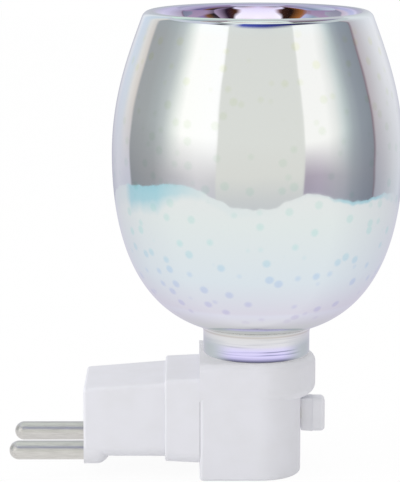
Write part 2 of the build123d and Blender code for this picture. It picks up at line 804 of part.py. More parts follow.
# Turn switch: a cup with a nose in the tower's front wall, its back plate and its two blades
with BuildPart() as switch_body:
    with BuildSketch(along_x(chamber_back, 0, switch_axis_height)):
        RectangleRounded(switch_width, switch_tall, switch_front_wall / 2)
    extrude(amount=switch_front - chamber_back)
    with BuildSketch(along_x(switch_front, 0, switch_axis_height)):
        Circle(nose_diameter / 2)
    extrude(amount=tower_front - switch_front - fixed_gap)
    with BuildSketch(along_x(chamber_back, 0, switch_axis_height)):
        Circle(switch_chamber / 2)
    extrude(amount=switch_front - switch_front_wall - chamber_back, mode=Mode.SUBTRACT)
    with BuildSketch(along_x(switch_back, 0, switch_axis_height)):
        Circle(spindle_diameter / 2 + running_gap)
    extrude(amount=tower_front - switch_back, mode=Mode.SUBTRACT)
switch_body.part.label = "switch_body"
export_step(switch_body.part, "parts/switch_body.step")

contact_places = [(0, 0), (contact_offset, 0)]
with BuildPart() as switch_back_cover:
    with BuildSketch(along_x(switch_back, 0, switch_axis_height)):
        RectangleRounded(switch_width, switch_tall, switch_front_wall / 2)
        with Locations(*contact_places):
            Rectangle(contact_thickness + 2 * snug_gap, contact_width + 2 * snug_gap, mode=Mode.SUBTRACT)
    extrude(amount=switch_back_plate)
switch_back_cover.part.label = "switch_back_cover"
export_step(switch_back_cover.part, "parts/switch_back_cover.step")

with BuildPart() as switch_contacts:
    with BuildSketch(along_x(contact_back, 0, switch_axis_height)):
        with Locations(*contact_places):
            Rectangle(contact_thickness, contact_width)
    extrude(amount=contact_front - contact_back)
switch_contacts.part.label = "switch_contacts"
export_step(switch_contacts.part, "parts/switch_contacts.step")

with BuildPart() as switch_rotor:
    with BuildSketch(along_x(rotor_back, 0, switch_axis_height)):
        Circle(rotor_radius)
        Circle(spindle_diameter / 2 + snug_gap, mode=Mode.SUBTRACT)
    extrude(amount=rotor_length)
switch_rotor.part.label = "switch_rotor"
export_step(switch_rotor.part, "parts/switch_rotor.step")

with BuildPart() as switch_bridge:
    bridge_reach = contact_offset + contact_thickness / 2
    with BuildSketch(along_x(rotor_back - bridge_thickness, 0, switch_axis_height)):
        Circle(bridge_width / 2)
        with Locations((0, bridge_reach / 2)):
            Rectangle(bridge_width, bridge_reach)
    extrude(amount=bridge_thickness)
switch_bridge.part.label = "switch_bridge"
export_step(switch_bridge.part, "parts/switch_bridge.step")

with BuildPart() as switch_spindle:
    with BuildSketch(along_x(rotor_back, 0, switch_axis_height)):
        Circle(spindle_diameter / 2)
    extrude(amount=knob_back + knob_socket_depth - rotor_back)
switch_spindle.part.label = "switch_spindle"
export_step(switch_spindle.part, "parts/switch_spindle.step")

# Turn knob: a flared stem and a rounded finger bar
with BuildPart() as switch_knob:
    knob_step = knob_back + knob_stem_length
    with BuildSketch(along_x(knob_back, 0, switch_axis_height)):
        Rectangle(knob_stem_width, knob_stem_tall)
    with BuildSketch(along_x(knob_step, 0, switch_axis_height)):
        Rectangle(knob_stem_width + 2 * knob_flare, knob_stem_tall + 2 * knob_flare)
    loft()
    with BuildSketch(along_x(knob_step, 0, switch_axis_height)):
        RectangleRounded(knob_cap_width, knob_cap_tall, knob_round)
    extrude(amount=knob_cap_length)
    fillet(switch_knob.faces().sort_by(Axis.X)[-1].edges(), radius=0.9 * knob_round)
    with BuildSketch(along_x(knob_back, 0, switch_axis_height)):
        Circle(spindle_diameter / 2 + snug_gap)
    extrude(amount=knob_socket_depth + snug_gap, mode=Mode.SUBTRACT)
switch_knob.part.label = "switch_knob"
export_step(switch_knob.part, "parts/switch_knob.step")

# Wires: from the pins to the switch and the screw shell, and from the switch to the leaf contact
arm_run = block_length / 2
arm_exit = tower_back - collar_length
neutral_y = -(window_width / 2 - wire_diameter)
neutral_z = arm_middle - window_height / 2 + wire_diameter + moving_gap
wire_routes = {
    "line_wire": [
        (terminal_front, pin_places[0], wire_height),
        (arm_run, pin_places[0], wire_height),
        (arm_exit, contact_offset, switch_axis_height),
        (contact_back, contact_offset, switch_axis_height),
    ],
    "neutral_wire": [
        (terminal_front, pin_places[1], wire_height),
        (arm_run, pin_places[1], wire_height),
        (arm_exit, neutral_y, neutral_z),
        (axis_x - holder_radius, neutral_y, neutral_z),
        (axis_x, shell_tail_y, neutral_z),
        (axis_x, shell_tail_y, tail_end),
    ],
    "switched_wire": [
        (contact_back, 0, switch_axis_height),
        (leaf_tail_x, 0, switch_axis_height),
        (leaf_tail_x, 0, tail_end),
    ],
}
for name, points in wire_routes.items():
    with BuildPart() as wire:
        with BuildLine() as route:
            FilletPolyline(*points, radius=bend_radii(points))
        with BuildSketch(Plane(route.line @ 0, z_dir=route.line % 0)):
            Circle(wire_radius)
        sweep(path=route.line)
    wire.part.label = name
    export_step(wire.part, f"parts/{name}.step")
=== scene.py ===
"""Looks of a plug-in wax melt warmer: mirror-plated blown glass on a white moulded plug-in base."""

import json
import logging
import math
from dataclasses import dataclass, field
from enum import Enum
from typing import Any, Callable, Iterable, Mapping, Sequence

import bpy
import numpy as np
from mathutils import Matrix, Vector


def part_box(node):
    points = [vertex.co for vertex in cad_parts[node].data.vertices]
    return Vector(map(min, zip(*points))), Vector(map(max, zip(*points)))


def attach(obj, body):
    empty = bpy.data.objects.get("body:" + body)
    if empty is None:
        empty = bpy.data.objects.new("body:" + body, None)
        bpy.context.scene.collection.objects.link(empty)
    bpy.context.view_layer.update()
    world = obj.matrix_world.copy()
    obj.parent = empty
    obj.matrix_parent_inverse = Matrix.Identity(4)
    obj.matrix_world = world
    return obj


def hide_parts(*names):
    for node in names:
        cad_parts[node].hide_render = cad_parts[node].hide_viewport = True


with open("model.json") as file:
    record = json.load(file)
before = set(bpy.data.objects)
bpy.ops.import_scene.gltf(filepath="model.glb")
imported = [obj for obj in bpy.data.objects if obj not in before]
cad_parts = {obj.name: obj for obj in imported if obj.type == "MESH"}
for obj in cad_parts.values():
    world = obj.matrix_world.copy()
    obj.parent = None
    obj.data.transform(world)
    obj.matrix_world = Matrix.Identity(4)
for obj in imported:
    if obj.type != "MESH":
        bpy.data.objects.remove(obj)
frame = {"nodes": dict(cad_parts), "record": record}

MM = 0.001
# Points nearer than these are one: in metres in a CAD mesh, in millimetres on a line.
WELD = 2e-7
REPEAT = 1e-6
LOG = logging.getLogger("wax_warmer")
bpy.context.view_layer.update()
MIRROR_ONLY = ("camera", "diffuse", "shadow", "transmission")

Curve = tuple[tuple[float, float], ...]
Tones = tuple[tuple[float, str], ...]
WallTones = tuple[tuple[str, float, str | float], ...]


def linear(hex_colour: str, alpha: float = 1.0) -> tuple[float, float, float, float]:
    """Turns an sRGB hex colour into linear light.

    Args:
        hex_colour: Six hex digits, with or without a leading hash.
        alpha: Fourth value of the result.

    Returns:
        Linear red, green, blue and alpha.
    """
    digits = hex_colour.lstrip("#")
    srgb = np.array([int(digits[i:i + 2], 16) for i in (0, 2, 4)]) / 255.0
    light = np.where(srgb <= 0.04045, srgb / 12.92, ((srgb + 0.055) / 1.055) ** 2.4)
    return (*light.tolist(), alpha)


def scale_of(size: float) -> float:
    """Scale of a texture whose features are about a size in millimetres across."""
    return 1 / (size * MM)


def feed(tree: bpy.types.NodeTree, node: bpy.types.Node, inputs: Mapping[Any, Any]) -> None:
    """Sets a node's sockets to values, or links them to what feeds them.

    Args:
        tree: Node tree that holds the node.
        node: Node whose sockets are set.
        inputs: Socket to value, to output socket, or to node, which then feeds it by its first output in use.
    """
    for key, value in inputs.items():
        if isinstance(value, bpy.types.Node):
            value = next(socket for socket in value.outputs if socket.enabled)
        if isinstance(value, bpy.types.NodeSocket):
            tree.links.new(value, node.inputs[key])
        else:
            node.inputs[key].default_value = value


def add_node(
    tree: bpy.types.NodeTree,
    kind: str,
    inputs: Mapping[Any, Any] | None = None,
    stops: Iterable[tuple[float, Sequence[float]]] = (),
    **settings: Any,
) -> bpy.types.Node:
    """Adds one node with its settings, its links and, for a ramp, its colour stops.

    Args:
        tree: Node tree that takes the node.
        kind: Blender's type name of the node, without the word ShaderNode.
        inputs: What feeds its sockets.
        stops: Places and linear colours of a colour ramp.
        settings: Attributes to set.

    Returns:
        The new node.
    """
    node = tree.nodes.new(f"ShaderNode{kind}")
    for name, value in settings.items():
        setattr(node, name, value)
    feed(tree, node, inputs or {})
    ordered = sorted(stops, key=lambda stop: stop[0])
    # A ramp starts with two stops.
    for _ in ordered[2:]:
        node.color_ramp.elements.new(1.0)
    for number, (place, colour) in enumerate(ordered):
        element = node.color_ramp.elements[number]
        element.position = place
        element.color = colour
    return node


def new_material(name: str) -> tuple[bpy.types.Material, bpy.types.NodeTree, bpy.types.Node]:
    """Makes a material with nodes.

    Args:
        name: Name of the material.

    Returns:
        The material, its node tree and the shader that it starts with.
    """
    material = bpy.data.materials.new(name)
    material.use_nodes = True
    tree = material.node_tree
    return material, tree, tree.nodes["Principled BSDF"]


def bezier(points: Sequence[tuple[float, float]], count: int) -> np.ndarray:
    """Samples a cubic curve: the sum of its four points weighted by the Bernstein polynomials of t.

    Args:
        points: Four control points, radius and height.
        count: Number of samples, ends included.

    Returns:
        Array of shape (count, 2).
    """
    t = np.linspace(0.0, 1.0, count)[:, None]
    a, b, c, d = (np.array(point) for point in points)
    return (1 - t) ** 3 * a + 3 * t * (1 - t) ** 2 * b + 3 * t ** 2 * (1 - t) * c + t ** 3 * d


def arc(centre: Sequence[float], radius: float, start: float, end: float, count: int) -> np.ndarray:
    """Samples a circular arc: centre plus radius times the cosine and sine of an even run of angles.

    Args:
        centre: Radius and height of the arc's centre.
        radius: Radius of the arc.
        start: First angle in degrees.
        end: Last angle in degrees.
        count: Number of samples, ends included.

    Returns:
        Array of shape (count, 2).
    """
    angle = np.radians(np.linspace(start, end, count))
    return np.array(centre) + radius * np.stack([np.cos(angle), np.sin(angle)], axis=1)


def towards(point: Sequence[float], angle: float, length: float) -> tuple[float, float]:
    """The point that lies length away along a heading in degrees."""
    way = math.radians(angle)
    return point[0] + length * math.cos(way), point[1] + length * math.sin(way)


def left_of(points: Sequence[Sequence[float]], depth: float) -> list[tuple[float, float]]:
    """Control points of the curve that runs depth to the left of another, its pulls scaled with its chord.

    Args:
        points: Four control points.
        depth: Distance to the left.

    Returns:
        Four control points.
    """
    p = np.array(points, float)
    ways = np.stack([p[1] - p[0], p[3] - p[2]])
    ways /= np.linalg.norm(ways, axis=1)[:, None]
    ends = p[[0, 3]] + depth * np.stack([-ways[:, 1], ways[:, 0]], axis=1)
    scale = np.linalg.norm(ends[1] - ends[0]) / np.linalg.norm(p[3] - p[0])
    pulls = ends + scale * (p[[1, 2]] - p[[0, 3]])
    return [tuple(q) for q in (ends[0], pulls[0], pulls[1], ends[1])]


def joined(runs: Sequence[np.ndarray]) -> np.ndarray:
    """Chains sampled runs into one line, and drops each sample that repeats the one before it.

    Args:
        runs: Points of each run, shape (k, 2).

    Returns:
        Points of the line, shape (n, 2).
    """
    line = np.concatenate(runs)
    step = np.linalg.norm(np.diff(line, axis=0), axis=1)
    return line[np.concatenate([[True], step > REPEAT])]


def path_length(line: np.ndarray) -> np.ndarray:
    """Running length along a line of points, starting at zero."""
    return np.concatenate([[0.0], np.cumsum(np.linalg.norm(np.diff(line, axis=0), axis=1))])


@dataclass(frozen=True)
class Thread:
    """A right-hand thread rolled into a tube, between two heights. Sizes in millimetres."""

    pitch: float
    depth: float
    low: float
    high: float
    run_out: float

    def groove(self, height: np.ndarray, angle: np.ndarray) -> np.ndarray:
        """Depth of the groove: depth times (1 - cos(2 pi z / pitch - a)) / 2, faded over the run-out.

        Args:
            height: Heights z, shape (k, 1).
            angle: Angles a round the axis in radians, shape (n,).

        Returns:
            Depths, shape (k, n).
        """
        start = np.clip((height - self.low) / self.run_out, 0, 1)
        end = np.clip((self.high - height) / self.run_out, 0, 1)
        return self.depth * start * end * (1 - np.cos(2 * np.pi * height / self.pitch - angle)) / 2


def revolve(line: np.ndarray, segments: int, axis_x: float, thread: Thread | None = None) -> np.ndarray:
    """Carries a line of radius and height round a vertical axis, and rolls a thread into it.

    Each point becomes a ring: x = axis + r cos a, y = r sin a, z = height, for even angles a, where r is the
    line's radius less the thread's groove.

    Args:
        line: Radii and heights in millimetres, shape (k, 2).
        segments: Points on each ring.
        axis_x: Place of the axis along X in millimetres.
        thread: Thread to roll in, if any.

    Returns:
        Rings in metres, shape (k, segments, 3).
    """
    angle = np.linspace(0.0, 2 * np.pi, segments, endpoint=False)
    radius, height = line[:, :1], line[:, 1:]
    if thread is not None:
        radius = radius - thread.groove(height, angle)
    x = axis_x + radius * np.cos(angle)
    y = radius * np.sin(angle)
    z = np.broadcast_to(height, x.shape)
    return MM * np.stack([x, y, z], axis=-1)


def surface_object(
    name: str,
    rings: np.ndarray,
    lengths: np.ndarray | None = None,
    closed: bool = False,
    gaps: Sequence[int] = (),
    caps: Sequence[int] = (),
    crease: float = 38.0,
) -> bpy.types.Object:
    """Makes a mesh object from rings of points that run round a path.

    Neighbouring points of neighbouring rings form quads. A cap closes a ring with a fan to its centre.
    The map's u is the share of the way round a ring, and its v the share of the way along the path.

    Args:
        name: Name of the object.
        rings: Points in metres, shape (k, n, 3).
        lengths: Place of each ring along the path; even steps when left out.
        closed: Whether the last ring joins the first.
        gaps: Rings that are not joined to the next one.
        caps: Rings that are closed with a fan.
        crease: Angle in degrees above which an edge is left sharp.

    Returns:
        The object, linked to the scene, with its faces pointing outwards.
    """
    count, around = rings.shape[:2]
    verts = rings.reshape(-1, 3)
    index = np.arange(count * around).reshape(count, around)
    starts = np.setdiff1d(np.arange(count if closed else count - 1), np.array(gaps, int))
    ends = (starts + 1) % count
    step = np.roll(np.arange(around), -1)
    quads = np.stack(
        [index[starts], index[starts][:, step], index[ends][:, step], index[ends]], axis=-1
    ).reshape(-1, 4)
    share = np.linspace(0, 1, count) if lengths is None else lengths / lengths.max()
    u = np.arange(around) / around
    u_corner = np.stack([u, u + 1 / around, u + 1 / around, u], axis=-1)
    u_quads = np.broadcast_to(u_corner, (len(starts), around, 4)).reshape(-1)
    v_corner = np.stack([share[starts], share[starts], share[ends], share[ends]], axis=-1)
    v_quads = np.broadcast_to(v_corner[:, None, :], (len(starts), around, 4)).reshape(-1)
    faces = quads.tolist()
    maps = [np.stack([u_quads, v_quads], axis=-1)]
    for cap in caps:
        centre = len(verts)
        verts = np.concatenate([verts, rings[cap].mean(axis=0)[None]])
        fan = np.stack([index[cap], index[cap][step], np.full(around, centre)], axis=-1)
        before = cap in gaps or cap == count - 1
        faces += (fan if before else fan[:, ::-1]).tolist()
        u_fan = np.stack([u, u + 1 / around, u + 0.5 / around], axis=-1)
        u_fan = u_fan if before else u_fan[:, ::-1]
        maps.append(np.stack([u_fan.reshape(-1), np.full(3 * around, share[cap])], axis=-1))
    mesh = bpy.data.meshes.new(name)
    mesh.from_pydata(verts.tolist(), [], faces)
    layer = mesh.uv_layers.new(name="surface")
    layer.data.foreach_set("uv", np.concatenate(maps).astype(np.float32).reshape(-1))
    return finished_object(name, mesh, crease)


def finished_object(name: str, mesh: bpy.types.Mesh, crease: float) -> bpy.types.Object:
    """Turns a mesh's faces outwards, shades it smooth between creases and links it.

    Args:
        name: Name of the object.
        mesh: Closed mesh.
        crease: Angle in degrees above which an edge is left sharp.

    Returns:
        The linked object.
    """
    mesh.update()
    mesh.calc_loop_triangles()
    corners = np.empty(3 * len(mesh.loop_triangles), np.int32)
    mesh.loop_triangles.foreach_get("vertices", corners)
    points = np.empty(3 * len(mesh.vertices))
    mesh.vertices.foreach_get("co", points)
    a, b, c = points.reshape(-1, 3)[corners.reshape(-1, 3)].transpose(1, 0, 2)
    if np.einsum("ij,ij->i", a, np.cross(b, c)).sum() < 0:
        mesh.flip_normals()
    mesh.polygons.foreach_set("use_smooth", np.ones(len(mesh.polygons), bool))
    mesh.set_sharp_from_angle(angle=math.radians(crease))
    piece = bpy.data.objects.new(name, mesh)
    bpy.context.scene.collection.objects.link(piece)
    return piece


def smooth_copy(
    node: str, name: str, reshape: Callable[[np.ndarray], np.ndarray] | None = None, crease: float = 32.0
) -> bpy.types.Object:
    """Copies a CAD node's mesh, welds its loose triangles and shades it smooth.

    Args:
        node: Name of the CAD node.
        name: Name of the new object.
        reshape: Function that moves the copy's points, in metres, if any.
        crease: Angle in degrees above which an edge is left sharp.

    Returns:
        The copy.
    """
    source = frame["nodes"][node].data
    source.calc_loop_triangles()
    points = np.empty(3 * len(source.vertices))
    source.vertices.foreach_get("co", points)
    corners = np.empty(3 * len(source.loop_triangles), np.int32)
    source.loop_triangles.foreach_get("vertices", corners)
    points = points.reshape(-1, 3)
    rounded = np.round(points / WELD)
    _, first, merged = np.unique(rounded, axis=0, return_index=True, return_inverse=True)
    triangles = merged.reshape(-1)[corners].reshape(-1, 3)
    distinct = (triangles != np.roll(triangles, 1, axis=1)).all(axis=1)
    welded = points[first] if reshape is None else reshape(points[first])
    mesh = bpy.data.meshes.new(name)
    mesh.from_pydata(welded.tolist(), [], triangles[distinct].tolist())
    piece = finished_object(name, mesh, crease)
    even = piece.modifiers.new("even_faces", "WEIGHTED_NORMAL")
    even.keep_sharp = True
    return piece


def node_box(node: str) -> tuple[np.ndarray, np.ndarray]:
    """Lowest and highest corner of a CAD node in millimetres."""
    low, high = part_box(node)
    return np.array(low) / MM, np.array(high) / MM


class Body(str, Enum):
    """The rigid bodies that pieces ride on."""

    HOUSING = "housing"
    KNOB = "knob"
    SHADE = "shade"
    BULB = "bulb"
    BULB_FOOT = "bulb_foot"

    @property
    def mirrored(self) -> bool:
        """Whether mirrors show the body. The glass film shows no base, so the base is kept from them."""
        return self not in (Body.HOUSING, Body.KNOB)


def settle(piece: bpy.types.Object, material: bpy.types.Material, body: Body, slot: str, *nodes: str) -> None:
    """Dresses a piece, sets it on its body and lets it stand for CAD nodes.

    Args:
        piece: The piece.
        material: Its finish.
        body: Body that carries it.
        slot: Material slot of the record; not used.
        nodes: CAD nodes that it replaces.
    """
    piece.data.materials.append(material)
    piece.visible_glossy = body.mirrored
    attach(piece, body.value)
    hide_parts(*nodes)


@dataclass(frozen=True)
class Moulding:
    """Moulded plastic or pressed glass: an even colour with a fine spark-eroded grain that dims its gloss.

    The grain is drawn a few times coarser than the real one, so that it shows.
    """

    name: str
    colour: str
    shade_colour: str
    roughness: float = 0.42
    gloss_swing: float = 0.05
    grain_mm: float = 0.35
    grain_depth_mm: float = 0.006
    flow_mm: float = 9.0
    ior: float = 1.53

    def build(self) -> bpy.types.Material:
        """Builds the material: slow flow marks in the colour, grain in bump and gloss.

        Returns:
            The material.
        """
        material, tree, shader = new_material(self.name)
        place = add_node(tree, "TexCoord").outputs["Object"]
        flow = add_node(tree, "TexNoise", {"Vector": place, "Scale": scale_of(self.flow_mm), "Detail": 3.0})
        grain = add_node(tree, "TexNoise", {"Vector": place, "Scale": scale_of(self.grain_mm), "Detail": 2.0})
        tones = [(0.35, linear(self.shade_colour)), (0.62, linear(self.colour))]
        gloss = {"To Min": self.roughness - self.gloss_swing, "To Max": self.roughness + self.gloss_swing}
        relief = {"Height": grain, "Strength": 0.35, "Distance": self.grain_depth_mm * MM}
        feed(tree, shader, {
            "Base Color": add_node(tree, "ValToRGB", {"Fac": flow}, tones),
            "Roughness": add_node(tree, "MapRange", {"Value": grain, **gloss}),
            "Normal": add_node(tree, "Bump", relief),
            "IOR": self.ior,
        })
        return material


@dataclass(frozen=True)
class Metal:
    """Plated or pressed metal: a mirror broken by fine lengthwise drawing marks."""

    name: str
    colour: str
    dull_colour: str
    roughness: float = 0.25
    dulled: float = 0.08
    polished: float = 0.06
    mark_mm: float = 0.25
    stretch: tuple[float, float, float] = (0.08, 1.0, 1.0)

    def build(self) -> bpy.types.Material:
        """Builds the material: noise stretched along the drawing way varies colour and gloss.

        Returns:
            The material.
        """
        material, tree, shader = new_material(self.name)
        place = add_node(tree, "TexCoord").outputs["Object"]
        drawn = add_node(tree, "Mapping", {"Vector": place, "Scale": self.stretch})
        marks = add_node(tree, "TexNoise", {"Vector": drawn, "Scale": scale_of(self.mark_mm), "Detail": 3.0})
        tones = [(0.3, linear(self.dull_colour)), (0.65, linear(self.colour))]
        gloss = {"To Min": self.roughness + self.dulled, "To Max": self.roughness - self.polished}
        feed(tree, shader, {
            "Base Color": add_node(tree, "ValToRGB", {"Fac": marks}, tones),
            "Roughness": add_node(tree, "MapRange", {"Value": marks, **gloss}),
            "Metallic": 1.0,
        })
        return material


@dataclass(frozen=True)
class ClearGlass:
    """Soda-lime lamp glass: clear, with faint drawing waves in its skin."""

    name: str
    colour: str = "FCFDFD"
    roughness: float = 0.02
    ior: float = 1.5
    wave_mm: float = 6.0
    wave_depth_mm: float = 0.05

    def build(self) -> bpy.types.Material:
        """Builds the material: full transmission with a slow bump.

        Returns:
            The material.
        """
        material, tree, shader = new_material(self.name)
        place = add_node(tree, "TexCoord").outputs["Object"]
        waves = add_node(tree, "TexNoise", {"Vector": place, "Scale": scale_of(self.wave_mm), "Detail": 1.0})
        relief = {"Height": waves, "Strength": 0.2, "Distance": self.wave_depth_mm * MM}
        feed(tree, shader, {
            "Base Color": linear(self.colour), "Transmission Weight": 1.0, "Roughness": self.roughness,
            "IOR": self.ior, "Normal": add_node(tree, "Bump", relief),
        })
        return material


@dataclass
class GlassShade:
    """The blown globe with its neck, rolled lip and pushed-in wax dish. Sizes in millimetres."""

    axis_x: float = 44.0
    seat: float = 23.4
    neck_radius: float = 13.6
    wall: float = 1.8
    neck_straight: float = 5.5
    root_round: float = 2.4
    shoulder_angle: float = 18.6
    shoulder_pull: float = 13.8
    belly_radius: float = 36.75
    belly_height: float = 51.0
    belly_pull_down: float = 24.8
    belly_pull_up: float = 13.8
    lip_radius: float = 29.0
    lip_height: float = 86.1
    lip_angle: float = 69.5
    lip_pull: float = 12.1
    lip_roll: float = 2.2
    dish_depth: float = 13.5
    dish_angle: float = 75.0
    dish_wall_pull: float = 8.5
    dish_floor_pull: float = 14.0
    dish_centre: float = 0.3
    foot_round: float = 0.8
    segments: int = 192
    marks: dict[str, float] = field(default_factory=dict)
    # Painted shade is mixed into these tints along with the film's pearly colours. The dark tones at the
    # start and the foot paint a line where the glass stands on the base. The dark tone just past the root
    # paints a line in the crease between neck and bowl. The tones from the root up to the belly darken the
    # bowl towards the neck.
    film_tone_and_painted_shades: WallTones = (
        ("start", 0.0, "2E2E38"), ("start", 0.88, "5A5C70"), ("foot", 0.0, "A6A2CC"), ("foot", 0.6, "D9D3F8"),
        ("neck", -2.2, "DBD6F7"), ("neck", -1.2, "DEDEE2"), ("neck", 0.7, "DCDCDD"), ("neck", 1.3, "C2BCB8"),
        ("neck", 1.9, "E6E8E4"), ("root", -0.1, "E6E9E2"), ("root", 0.6, "A4ABBA"), ("root", 1.6, "BEC6C2"),
        ("root", 6.0, "D0D4D0"), ("root", 9.0, "D3D3D9"), ("root", 12.9, "D8D9E6"), ("root", 14.0, "D6D4E0"),
        ("belly", -27.3, "D8E1E7"), ("belly", -12.1, "DEE5E4"), ("belly", 0.0, "E3E4E3"),
        ("shoulder", -3.0, "E1E2E2"), ("shoulder", 0.0, "E0E4E6"), ("shoulder", 2.8, "CFDAD5"),
        ("lip", -1.5, "BEB6D6"), ("lip", 0.0, "CFC9E2"), ("lip", 2.0, "E4E0F0"), ("dish", 0.0, "E6E2EE"),
    )
    line_shares: WallTones = (
        ("start", 0.0, 1.0), ("foot", 1.2, 0.85), ("neck", -1.5, 0.25), ("root", 0.0, 0.0),
    )
    line_mm: tuple[float, float, float] = (18.0, 18.0, 0.7)
    # Painted shade: the neck's left and right sides, measured along X from the axis, turn grey by these
    # shares along the wall.
    painted_side_shade_shares: WallTones = (("neck", -2.0, 1.0), ("neck", 0.5, 0.0))
    painted_side_shade_tint: str = "BEC6C8"
    painted_side_shade_reach: tuple[float, float] = (0.42, 0.88)
    dot_shares: WallTones = (
        ("root", 8.0, 0.0), ("root", 14.0, 0.58), ("belly", -24.2, 0.62), ("belly", -12.1, 0.5),
        ("belly", 0.0, 0.32), ("shoulder", -6.0, 0.42), ("shoulder", 0.0, 0.0),
    )
    dot_tints: WallTones = (
        ("root", 10.0, "BDB2D2"), ("belly", -35.1, "BABADC"), ("belly", -25.4, "B6CEE6"),
        ("belly", -17.0, "B8DEDC"), ("belly", -6.1, "C0DCD4"), ("belly", 12.0, "CED8C4"),
        ("shoulder", 0.0, "DEDFB4"),
    )
    dot_spacing: float = 4.3
    dot_edge: float = 0.34
    dot_core: float = 0.15
    wave_mm: float = 14.0
    wave_depth: float = 0.25
    haze_mm: float = 3.0

    def profiles(self) -> tuple[np.ndarray, np.ndarray]:
        """Works out the outside and inside lines from arcs and cubic curves that meet smoothly.

        Returns:
            Outside line from the foot to the dish's centre, and inside line from there back to the foot.
        """
        neck_top = self.seat + self.neck_straight
        root = (self.neck_radius + self.root_round, neck_top)
        turn = self.shoulder_angle + 90
        shoulder = towards(root, turn, self.root_round)
        belly = (self.belly_radius, self.seat + self.belly_height)
        lip = (self.lip_radius, self.seat + self.lip_height)
        lip_way = 180 - self.lip_angle
        lip_centre = towards(lip, lip_way + 90, self.lip_roll)
        dish_way = 180 + self.dish_angle
        dish = towards(lip_centre, dish_way - 90, self.lip_roll)
        floor = lip_centre[1] + self.lip_roll - self.dish_depth
        lower = [shoulder, towards(shoulder, self.shoulder_angle, self.shoulder_pull),
                 (belly[0], belly[1] - self.belly_pull_down), belly]
        upper = [belly, (belly[0], belly[1] + self.belly_pull_up), towards(lip, lip_way, -self.lip_pull), lip]
        bowl = [dish, towards(dish, dish_way, self.dish_wall_pull),
                (self.dish_floor_pull, floor), (self.dish_centre, floor)]
        bore = self.neck_radius - self.wall
        foot = (self.neck_radius - self.foot_round, self.seat + self.foot_round)
        inner_foot = (bore + self.foot_round / 2, self.seat + self.foot_round / 2)
        runs = [
            arc(foot, self.foot_round, -90, 0, count=6),
            np.linspace((self.neck_radius, foot[1]), (self.neck_radius, neck_top), num=8),
            arc(root, self.root_round, 180, turn, count=10),
            bezier(lower, count=56),
            bezier(upper, count=40),
            arc(lip_centre, self.lip_roll, lip_way - 90, dish_way - 90, count=22),
            bezier(bowl, count=34),
        ]
        ends = np.cumsum([path_length(run)[-1] for run in runs])
        names = ("foot", "neck", "root", "belly", "shoulder", "lip", "dish")
        self.marks = {"start": 0.0, **dict(zip(names, ends.tolist()))}
        inside = [
            bezier(left_of(bowl, self.wall), count=24)[::-1],
            arc(lip_centre, self.lip_roll - self.wall, dish_way - 90, lip_way - 90, count=8),
            bezier(left_of(upper, self.wall), count=28)[::-1],
            bezier(left_of(lower, self.wall), count=40)[::-1],
            arc(root, self.root_round + self.wall, turn, 180, count=8),
            np.linspace((bore, neck_top), (bore, inner_foot[1]), num=4),
            arc(inner_foot, self.foot_round / 2, 180, 270, count=4),
        ]
        return joined(runs), joined(inside)

    def stops(self, tones: WallTones) -> list[tuple[float, Sequence[float]]]:
        """Turns tones or grey levels at distances from the wall's marks into stops along the wall.

        Args:
            tones: Mark, distance from it along the outside line, and hex colour or grey level.

        Returns:
            Places from 0 at the foot to 1 at the dish's centre, and linear colours.
        """
        return [
            (
                (self.marks[mark] + distance) / self.marks["dish"],
                linear(tone) if isinstance(tone, str) else (tone, tone, tone, 1.0),
            )
            for mark, distance, tone in tones
        ]

    def film(self) -> bpy.types.Material:
        """Electroplated mirror film on blown glass: silver with pearly interference tints and clear dots.

        The tint follows the wall from foot to dish. Besides the film's pearly colours it holds painted shade:
        a dark line at the foot, a dark line at the neck's root and a darkening of the bowl towards the neck.
        Draw lines ring the neck, whose left and right sides are painted grey as shade. The dots are small
        windows in the film: balls scattered through space show wherever the wall cuts them, so they differ in
        size, and their tint turns with their height.

        Returns:
            The material.
        """
        material, tree, shader = new_material("electroplated_blown_glass")
        place = add_node(tree, "TexCoord").outputs["Object"]
        surface = add_node(tree, "UVMap", uv_map="surface")
        along = add_node(tree, "SeparateXYZ", {"Vector": surface}).outputs["Y"]
        # The first ramp is the film's tint with painted shade. The third is the share of painted grey on the
        # neck's sides.
        tables = (self.film_tone_and_painted_shades, self.line_shares, self.painted_side_shade_shares, self.dot_shares, self.dot_tints)
        film_tone_and_painted_shade, line_share, painted_side_shade_share, dot_share, dot_tint = (
            add_node(tree, "ValToRGB", {"Fac": along}, self.stops(tones)) for tones in tables
        )

        line_scale = [scale_of(length) for length in self.line_mm]
        ringed = add_node(tree, "Mapping", {"Vector": place, "Scale": line_scale})
        lines = add_node(tree, "TexNoise", {"Vector": ringed, "Scale": 1.0, "Detail": 2.0})
        line_tones = [(0.30, linear("5C6478")), (0.38, linear("CCCEDE")), (0.46, linear("FFFFFF"))]
        line_tint = add_node(tree, "ValToRGB", {"Fac": lines}, line_tones)
        tints = {"Factor": line_share, 6: film_tone_and_painted_shade, 7: line_tint}
        lined = add_node(tree, "Mix", tints, data_type="RGBA", blend_type="MULTIPLY")

        # Painted shade: the neck's left and right sides, by their distance along X from the axis, are mixed
        # towards grey.
        across = add_node(tree, "SeparateXYZ", {"Vector": place}).outputs["X"]
        offset = add_node(tree, "Math", {0: across, 1: self.axis_x * MM}, operation="SUBTRACT")
        aside = add_node(tree, "Math", {0: offset}, operation="ABSOLUTE")
        near, far = (share * self.neck_radius * MM for share in self.painted_side_shade_reach)
        reach = {"Value": aside, "From Min": near, "From Max": far}
        sides = add_node(tree, "MapRange", reach, interpolation_type="SMOOTHSTEP")
        painted_side_mix = add_node(tree, "Math", {0: sides, 1: painted_side_shade_share}, operation="MULTIPLY")
        painted_side_shade = linear(self.painted_side_shade_tint)
        plated = add_node(tree, "Mix", {"Factor": painted_side_mix, 6: lined, 7: painted_side_shade}, data_type="RGBA")

